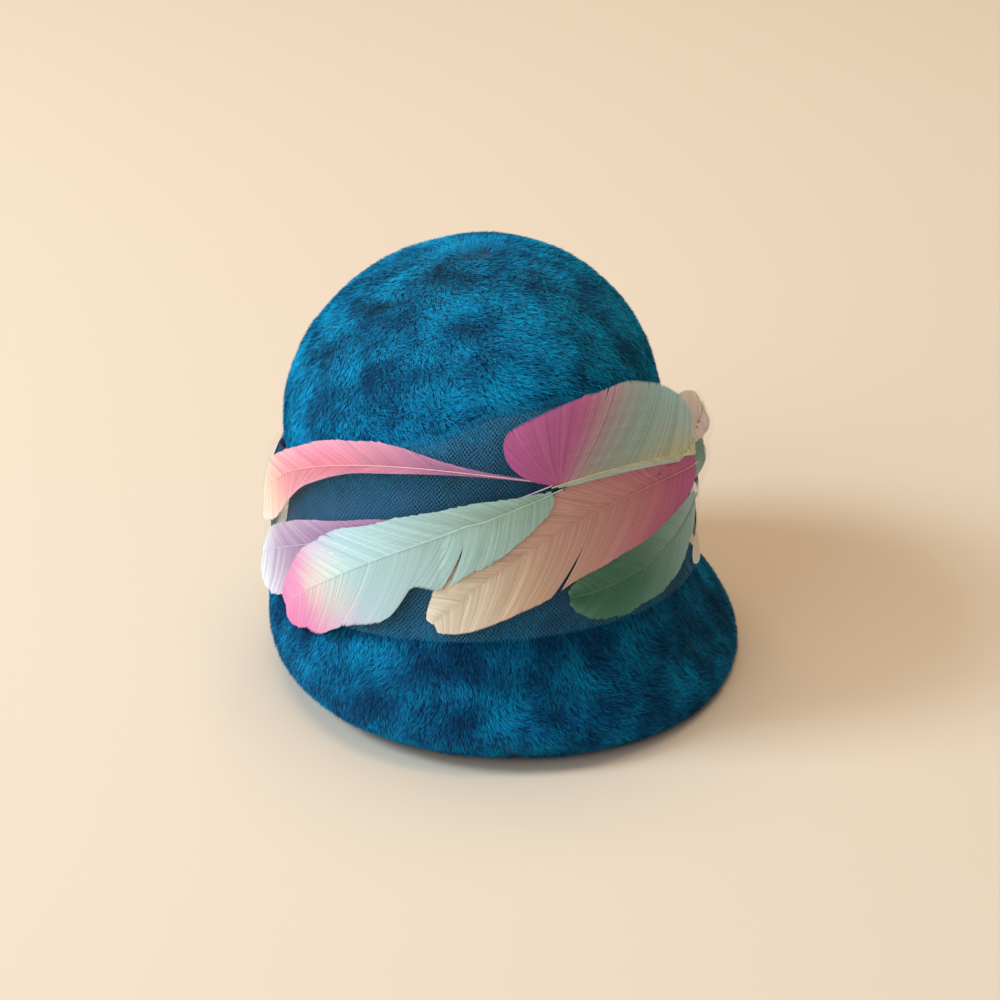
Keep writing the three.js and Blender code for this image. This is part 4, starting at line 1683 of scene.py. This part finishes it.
@dataclass
class TullePly:
    """One ply of tulle wrapped round the crown.

    The first fold is its share, its waves round the hat in radians for each radian and its slant for each
    metre of height. The second is its share, how often it runs to one of the first, its own slant and its
    start. Each edge wave is its size in metres, how often it runs round the hat and its start in degrees.
    """

    form: HatForm
    name: str
    finish: NetFinish
    share: float
    lower_trim: float
    upper_trim: float
    gather: float = 0.00022
    tuck: float = 0.75
    tuck_reach: float = 0.016
    turns: int = 240
    rows: int = 40
    net_turn_length: float = 0.600
    first_fold: tuple[float, float, float] = (0.6, 9.0, 260.0)
    second_fold: tuple[float, float, float, float] = (0.4, 2.3, 190.0, 1.1)
    edge_waves: tuple[tuple[float, float, float], ...] = ((0.0012, 5.0, 0.0), (0.0008, 13.0, 40.0))

    def folds(self, turn: np.ndarray, height: np.ndarray) -> np.ndarray:
        """Gives the slanting gathers of the cloth, from -1 to 1."""
        share, around, climb = self.first_fold
        second_share, often, second_climb, start = self.second_fold
        slant = np.radians(turn) * around + height * climb
        second = np.sin(slant * often + height * second_climb + start)
        return np.sin(slant) * share + second * second_share

    def lift(self, turn: np.ndarray, height: np.ndarray) -> np.ndarray:
        """Gives how far the ply lies off the felt's skin, with its small gathers."""
        inside = self.form.band_gap
        under = self.form.edge_height(self.form.band_upper, turn) - height
        tucked = self.tuck * (1 - smoothstep(under, 0, self.tuck_reach))
        thickness = (self.form.band_lift(turn, height) - inside) * (1 - tucked)
        return inside + thickness * self.share + self.gather * self.folds(turn, height)

    def build(self) -> bpy.types.Object:
        """Wraps the ply and lays out its map in metres.

        Returns:
            The sheet.
        """
        turn = 360 * np.arange(self.turns) / self.turns
        lower = self.form.edge_height(self.form.band_lower, turn) + self.lower_trim
        upper = self.form.edge_height(self.form.band_upper, turn) + self.upper_trim
        wander = sum(
            size * np.sin(np.radians(turn * often + start)) for size, often, start in self.edge_waves
        )
        step = np.linspace(0, 1, self.rows + 1)[:, None]
        height = lower * (1 - step) + (upper + wander) * step
        turns = np.broadcast_to(turn, height.shape)
        points = self.form.lifted(turns, height, self.lift(turns, height))
        faces = grid_faces(*height.shape, closed=True)
        mesh = bpy.data.meshes.new(self.name)
        mesh.from_pydata(points.reshape(-1, 3).tolist(), [], faces.tolist())
        columns = np.arange(self.turns)
        low_corner = np.stack([columns, columns + 1, columns + 1, columns], axis=-1)
        u = np.tile(low_corner, (self.rows, 1)) / self.turns * self.net_turn_length
        v = height.reshape(-1)[faces]
        net_map = np.stack([u, v], axis=-1)
        mesh.uv_layers.new(name=self.finish.map_name).data.foreach_set("uv", net_map.ravel())
        mesh.shade_smooth()
        ply = new_piece(self.name, mesh, self.finish.material())
        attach(ply, BODY)
        return ply


@dataclass
class TulleVeil(TullePly):
    """The last ply, which lies over the feathers and holds them."""

    feathers: tuple[Feather, ...] = ()
    clearance: float = 0.0003
    degrees: float = 1.5
    step: float = 0.002
    lowest: float = 0.02
    highest: float = 0.17
    widenings: int = 2
    smoothings: int = 3
    inside_last: float = 1.001

    def __post_init__(self) -> None:
        """Works out, on a grid of turns and heights, how high the feathers are stacked."""
        columns = int(360 / self.degrees)
        rows = len(np.arange(self.lowest, self.highest, self.step))
        stack = np.zeros((columns, rows))
        for feather in self.feathers:
            turn, height, top = feather.footprint()
            column = np.round((turn + 180) / self.degrees).astype(int) % columns
            row = np.clip(np.round((height - self.lowest) / self.step).astype(int), 0, rows - 1)
            np.maximum.at(stack, (column, row), top)
        for _ in range(self.widenings):
            stack = np.maximum.reduce(
                [np.roll(stack, shift, axis) for axis in (0, 1) for shift in (-1, 0, 1)]
            )
        for _ in range(self.smoothings):
            for axis in (0, 1):
                stack = (np.roll(stack, 1, axis) + 2 * stack + np.roll(stack, -1, axis)) / 4
        self.stack = stack

    def lift(self, turn: np.ndarray, height: np.ndarray) -> np.ndarray:
        """Gives how far the veil lies off the felt's skin, over whatever lies on the band."""
        columns, rows = self.stack.shape
        column = (turn + 180) % 360 / self.degrees
        row = np.clip((height - self.lowest) / self.step, 0, rows - self.inside_last)
        left, low = np.floor(column).astype(int) % columns, np.floor(row).astype(int)
        right = (left + 1) % columns
        a, b = column - np.floor(column), row - low
        top = (
            self.stack[left, low] * (1 - a) * (1 - b)
            + self.stack[right, low] * a * (1 - b)
            + self.stack[left, low + 1] * (1 - a) * b
            + self.stack[right, low + 1] * a * b
        )
        return self.form.band_lift(turn, height) + self.clearance + top


FEATHER_CUTS = (
    FeatherCut(
        "green", "green", layer=0, quill=(78, 0.076), tip=(24.5, 0.0675), bow=-0.003,
        upper=0.012, lower=0.016, upper_belly=0.5, lower_belly=0.4,
        dye=((0.0, "#acd4d6"), (0.3, "#8cb8b0"), (0.6, "#427e64"), (1.0, "#2f684e")),
        edge_dye=((0.0, "#b8d2dc"), (0.4, "#80b4a4"), (0.75, "#468664"), (1.0, "#64987c")),
        shaft="#7fae98", blunt=0.45,
    ),
    FeatherCut(
        "dove", "pale", layer=0, quill=(-174, 0.060), tip=(-79, 0.053), bow=-0.002,
        upper=0.011, lower=0.012, upper_belly=0.6, lower_belly=0.6,
        dye=((0.0, "#9fb6c6"), (0.5, "#bccbd6"), (1.0, "#dfe3ea")),
        edge_dye=((0.0, "#b9c8d4"), (1.0, "#eceef3")),
        shaft="#e6e9ef",
    ),
    FeatherCut(
        "plum", "lilac", layer=0, quill=(-172, 0.076), tip=(-88, 0.078), bow=0.003,
        upper=0.009, lower=0.008, upper_belly=0.6, lower_belly=0.6,
        dye=((0.0, "#8a6fa6"), (0.5, "#a98ab5"), (1.0, "#cbb3d6")),
        edge_dye=((0.0, "#9c80b4"), (1.0, "#d9c6e2")),
        shaft="#d8c7e0",
    ),
    FeatherCut(
        "moss", "green", layer=0, quill=(50, 0.112), tip=(97, 0.084), bow=0.003,
        upper=0.013, lower=0.012, upper_belly=0.6, lower_belly=0.6,
        dye=((0.0, "#4f8f84"), (0.6, "#4a8f80"), (1.0, "#6fa79c")),
        edge_dye=((0.0, "#6ba398"), (1.0, "#8fbdb4")),
        shaft="#a9cfc4", springs=0.008, worn=0.4,
    ),
    FeatherCut(
        "cream", "pale", layer=0, quill=(172, 0.054), tip=(75, 0.051), bow=-0.002,
        upper=0.011, lower=0.012, upper_belly=0.65, lower_belly=0.65,
        dye=((0.0, "#d9b9a4"), (0.5, "#eadac8"), (1.0, "#faf0e4")),
        edge_dye=((0.0, "#e6cdb9"), (1.0, "#fcf6ee")),
        shaft="#f8f0e6", worn=0.3,
    ),
    FeatherCut(
        "mist", "pale", layer=1, quill=(174, 0.064), tip=(90, 0.068), bow=0.003,
        upper=0.014, lower=0.013, upper_belly=0.6, lower_belly=0.6,
        dye=((0.0, "#a8a4c4"), (0.5, "#c4c0d4"), (1.0, "#dedbe6")),
        edge_dye=((0.0, "#bdb9d2"), (1.0, "#f0eef4")),
        shaft="#eeecf2", worn=0.3,
    ),
    FeatherCut(
        "lilac", "lilac", layer=1, quill=(21, 0.1175), tip=(-86, 0.043), bow=0.010,
        upper=0.009, lower=0.019, upper_belly=0.72, lower_belly=0.78, bare=0.34,
        dye=((0.0, "#a8609a"), (0.35, "#a86c98"), (0.6, "#9e7098"), (0.8, "#b494ae"), (1.0, "#dcdce6")),
        edge_dye=((0.0, "#b06a9e"), (0.45, "#aa78a0"), (0.8, "#c4aabc"), (1.0, "#eaecf0")),
        shaft="#e4dcf0", springs=0.001,
    ),
    FeatherCut(
        "coral", "coral", layer=1, quill=(77.5, 0.092), tip=(-12.5, 0.0595), bow=0.024,
        upper=0.0165, lower=0.023, upper_belly=0.55, lower_belly=0.5,
        dye=((0.0, "#d662a8"), (0.14, "#da7098"), (0.3, "#e29094"), (0.5, "#e4aa9c"), (0.68, "#e4bca2"),
             (0.84, "#e8d2b4"), (1.0, "#eeddc4")),
        edge_dye=((0.0, "#cc5aac"), (0.3, "#e080a0"), (0.45, "#e8a4a4"), (0.6, "#eab8a2"), (0.78, "#eec8a8"),
                  (1.0, "#f0dec8")),
        shaft="#f4b8aa",
        splits=(Split(Vane.LOWER, 0.66, 0.0052, 0.8),), worn=0.5,
    ),
    FeatherCut(
        "rose", "rose", layer=2, quill=(21, 0.1195), tip=(-88, 0.062), bow=0.030,
        upper=0.0085, lower=0.0085, upper_belly=0.58, lower_belly=0.8,
        dye=((0.0, "#9a6aa0"), (0.2, "#b0709c"), (0.4, "#d4788e"), (0.56, "#e87c8e"), (0.7, "#f0949a"),
             (0.79, "#f1b4a4"), (0.87, "#efc9ae"), (1.0, "#ecd6be")),
        edge_dye=((0.0, "#a87ab0"), (0.3, "#c87c9e"), (0.5, "#e090a6"), (0.7, "#eca2ac"), (0.8, "#f0c0b0"),
                  (0.9, "#f0d6c2"), (1.0, "#efe2d4")),
        shaft="#f6c3c8", bare=0.26, springs=0.001,
        splits=(Split(Vane.UPPER, 0.84, 0.0036, 0.6),),
        nicks=(Nick(Vane.LOWER, 0.42, 0.20, 0.5), Nick(Vane.LOWER, 0.86, 0.10, -0.55)),
    ),
    FeatherCut(
        "dusk", "rose", layer=2, quill=(176, 0.071), tip=(103, 0.083), bow=0.004,
        upper=0.009, lower=0.011, upper_belly=0.6, lower_belly=0.6,
        dye=((0.0, "#9a6c86"), (0.5, "#b8929f"), (1.0, "#d9bdc4")),
        edge_dye=((0.0, "#aa7f95"), (1.0, "#e4ced3")),
        shaft="#e2cdd3",
    ),
    FeatherCut(
        "blush", "pale", layer=2, quill=(31, 0.124), tip=(96, 0.099), bow=0.006,
        upper=0.012, lower=0.009, upper_belly=0.7, lower_belly=0.6,
        dye=((0.0, "#b9a3ac"), (0.5, "#d9c3c4"), (1.0, "#f4e4de")),
        edge_dye=((0.0, "#cdbcc2"), (1.0, "#f8efe8")),
        shaft="#f2e4de", blunt=0.45, springs=0.008, worn=0.15,
    ),
    FeatherCut(
        "aqua", "aqua", layer=2, quill=(22, 0.115), tip=(-60, 0.043), bow=0.0105,
        upper=0.0155, lower=0.022, upper_belly=0.7, lower_belly=0.55,
        dye=((0.0, "#a6cebc"), (0.2, "#b0d4c6"), (0.45, "#b8d6d2"), (0.66, "#bedad9"), (0.77, "#dedbd0"),
             (0.85, "#ecc0bd"), (0.91, "#e890b0"), (1.0, "#e07aa6")),
        edge_dye=((0.0, "#b2d6c8"), (0.4, "#b4d4d0"), (0.66, "#bdd4dc"), (0.78, "#d8bcd2"), (0.87, "#e48eb6"),
                  (1.0, "#e077a6")),
        shaft="#cfe4de", blunt=0.42,
        splits=(Split(Vane.LOWER, 0.40, 0.0040, 0.85), Split(Vane.UPPER, 0.7, 0.0012, 0.5)),
        nicks=(Nick(Vane.LOWER, 0.50, 0.07, 0.36), Nick(Vane.LOWER, 0.93, 0.03, 0.12)),
    ),
    FeatherCut(
        "slate", "aqua", layer=3, quill=(146, 0.076), tip=(212, 0.056), bow=0.002,
        upper=0.013, lower=0.013, upper_belly=0.55, lower_belly=0.55,
        dye=((0.0, "#5f8496"), (0.5, "#7f9fae"), (1.0, "#a9c2cb")),
        edge_dye=((0.0, "#7798a8"), (1.0, "#c0d4da")),
        shaft="#c9dbe0",
    ),
    FeatherCut(
        "fan", "rose", layer=3, quill=(23, 0.118), tip=(75.5, 0.0995), bow=0.007,
        upper=0.0285, lower=0.0012, upper_belly=0.5, lower_belly=0.6,
        dye=((0.0, "#cc62a2"), (0.2, "#d0709e"), (0.36, "#cc9aa4"), (0.52, "#c2bcac"), (0.7, "#c2d0ba"),
             (0.88, "#dadca8"), (1.0, "#f0e8b0")),
        edge_dye=((0.0, "#cc58a2"), (0.2, "#cc66a0"), (0.34, "#c690a6"), (0.48, "#bab2b4"), (0.62, "#aaccc8"),
                  (0.8, "#a8d4dc"), (0.95, "#b4dcec"), (1.0, "#dce4c4")),
        shaft="#e6dca6", blunt=0.32, lobe=0.031, fanning=2.6, rim=0.7, worn=0.15,
        nicks=(Nick(Vane.UPPER, 0.2, 0.06, -0.10),),
        splits=(Split(Vane.UPPER, 0.36, 0.0012, 0.7), Split(Vane.UPPER, 0.12, 0.0005, 0.3)),
    ),
)


@dataclass
class FeatherBunch:
    """All feathers, laid on the band like shingles."""

    form: HatForm
    cuts: tuple[FeatherCut, ...] = FEATHER_CUTS
    seed: int = 20

    def feathers(self) -> tuple[Feather, ...]:
        """Returns the feathers before they are built."""
        return tuple(Feather(self.form, cut) for cut in self.cuts)

    def build(self) -> list[bpy.types.Object]:
        """Builds each feather with a number of its own.

        Returns:
            One piece for each feather.
        """
        return [feather.build(self.seed + index) for index, feather in enumerate(self.feathers())]


@dataclass
class TulleWrap:
    """The plies of tulle under the feathers and the veil over them."""

    form: HatForm
    bunch: FeatherBunch
    flat_width: float = 0.130
    flat_length: float = 0.620
    flat_area: float = 0.052

    def build(self) -> list[bpy.types.Object]:
        """Returns:
            The plies, from the felt outwards.
        """
        net = NetFinish("tulle_net", "#1678a8", pitch=0.0013, thread=0.00019, slant=40)
        veil_net = NetFinish("tulle_over", "#a9ccd0", pitch=0.0013, thread=0.00007, slant=52, cover=0.35)
        wrap = TullePly(
            self.form, "tulle_net_wrap", net, share=0.9, lower_trim=0.0, upper_trim=0.0
        )
        veil = TulleVeil(
            self.form, "tulle_veil", veil_net, share=1.0, lower_trim=0.001, upper_trim=-0.003,
            feathers=self.bunch.feathers(),
        )
        plies = [ply.build() for ply in (wrap, veil)]
        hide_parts("tulle_band")
        return plies


@dataclass(frozen=True)
class SoftLamp:
    """A soft square lamp, which faces the hat."""

    name: str
    place: tuple[float, float, float]
    size: float
    power: float
    colour: tuple[float, float, float]


@dataclass
class Studio:
    """A plain warm floor, soft light from the left front, and the camera at the photograph's angle."""

    target: Vector = field(default_factory=lambda: Vector((-0.0019, 0.0, 0.0682)))
    distance: float = 1.25
    elevation: float = 27.0
    lens: float = 98.46
    sensor_width: float = 36.0
    nearest: float = 0.01
    floor_size: float = 14.0
    floor_colour: str = "#d0c2b4"
    floor_shade: float = 0.97
    sky_colour: tuple[float, float, float, float] = (1.0, 0.88, 0.78, 1.0)
    sky_strength: float = 0.30
    lamps: tuple[SoftLamp, ...] = (
        SoftLamp("key", (-2.3, -0.16, 1.85), 0.9, 78.0, (0.72, 0.91, 1.0)),
        SoftLamp("front", (-2.2, -1.9, 1.6), 2.4, 50.0, (0.86, 0.94, 1.0)),
        SoftLamp("top", (-0.2, 0.9, 2.75), 2.2, 60.0, (1.0, 0.76, 0.47)),
    )

    def camera(self) -> bpy.types.Object:
        """Makes the camera and points it at the hat."""
        data = bpy.data.cameras.new("camera")
        data.lens = self.lens
        data.sensor_width = self.sensor_width
        data.clip_start = self.nearest
        camera = bpy.data.objects.new("camera", data)
        angle = math.radians(self.elevation)
        offset = Vector((0, -math.cos(angle), math.sin(angle)))
        camera.location = self.target + offset * self.distance
        camera.rotation_euler = (-offset).to_track_quat("-Z", "Y").to_euler()
        bpy.context.scene.collection.objects.link(camera)
        bpy.context.scene.camera = camera
        return camera

    def hang(self, lamp: SoftLamp) -> None:
        """Adds one lamp, turned towards the hat."""
        data = bpy.data.lights.new(lamp.name, "AREA")
        data.size = lamp.size
        data.energy = lamp.power
        data.color = lamp.colour
        light = bpy.data.objects.new(lamp.name, data)
        light.location = lamp.place
        light.rotation_euler = (self.target - light.location).to_track_quat("-Z", "Y").to_euler()
        bpy.context.scene.collection.objects.link(light)

    def floor(self) -> bpy.types.Object:
        """Makes the floor, which isn't part of the hat."""
        half = self.floor_size / 2
        mesh = bpy.data.meshes.new("floor")
        corners = [(-half, -half, 0), (half, -half, 0), (half, half, 0), (-half, half, 0)]
        mesh.from_pydata(corners, [], [(0, 1, 2, 3)])
        material, bench, shader = new_material("warm_floor")
        place = bench.add("ShaderNodeTexCoord").outputs["Object"]
        cloud = bench.noise(place, scale=1.2, detail=1.0)
        tint = darker(self.floor_colour, self.floor_shade)
        colour = bench.mix(cloud.outputs[0], tint, linear_colour(self.floor_colour))
        bench.feed(shader, base_color=colour, roughness=0.9, specular_ior_level=0.1)
        floor = new_piece("floor", mesh, material)
        return floor

    def build(self) -> None:
        """Sets the floor, the sky, the lamps and the camera."""
        world = bpy.data.worlds.new("studio")
        bpy.context.scene.world = world
        bpy.context.scene.view_settings.view_transform = "Standard"
        world.use_nodes = True
        background = world.node_tree.nodes["Background"]
        background.inputs["Color"].default_value = self.sky_colour
        background.inputs["Strength"].default_value = self.sky_strength
        self.floor()
        for lamp in self.lamps:
            self.hang(lamp)
        self.camera()


def main() -> None:
    """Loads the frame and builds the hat's pieces in order."""
    logging.basicConfig(level=logging.INFO, format="%(name)s: %(message)s")
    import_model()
    Studio().build()
    form = HatForm()
    shell = FeltShell(form)
    bunch = FeatherBunch(form)
    pieces = [shell.build()]
    pieces += BrushedNap(form, shell).build()
    pieces += bunch.build()
    pieces += TulleWrap(form, bunch).build()
    for piece in pieces:
        LOG.info("%s has %d faces", piece.name, len(piece.data.polygons))


if __name__ == "__main__":
    main()
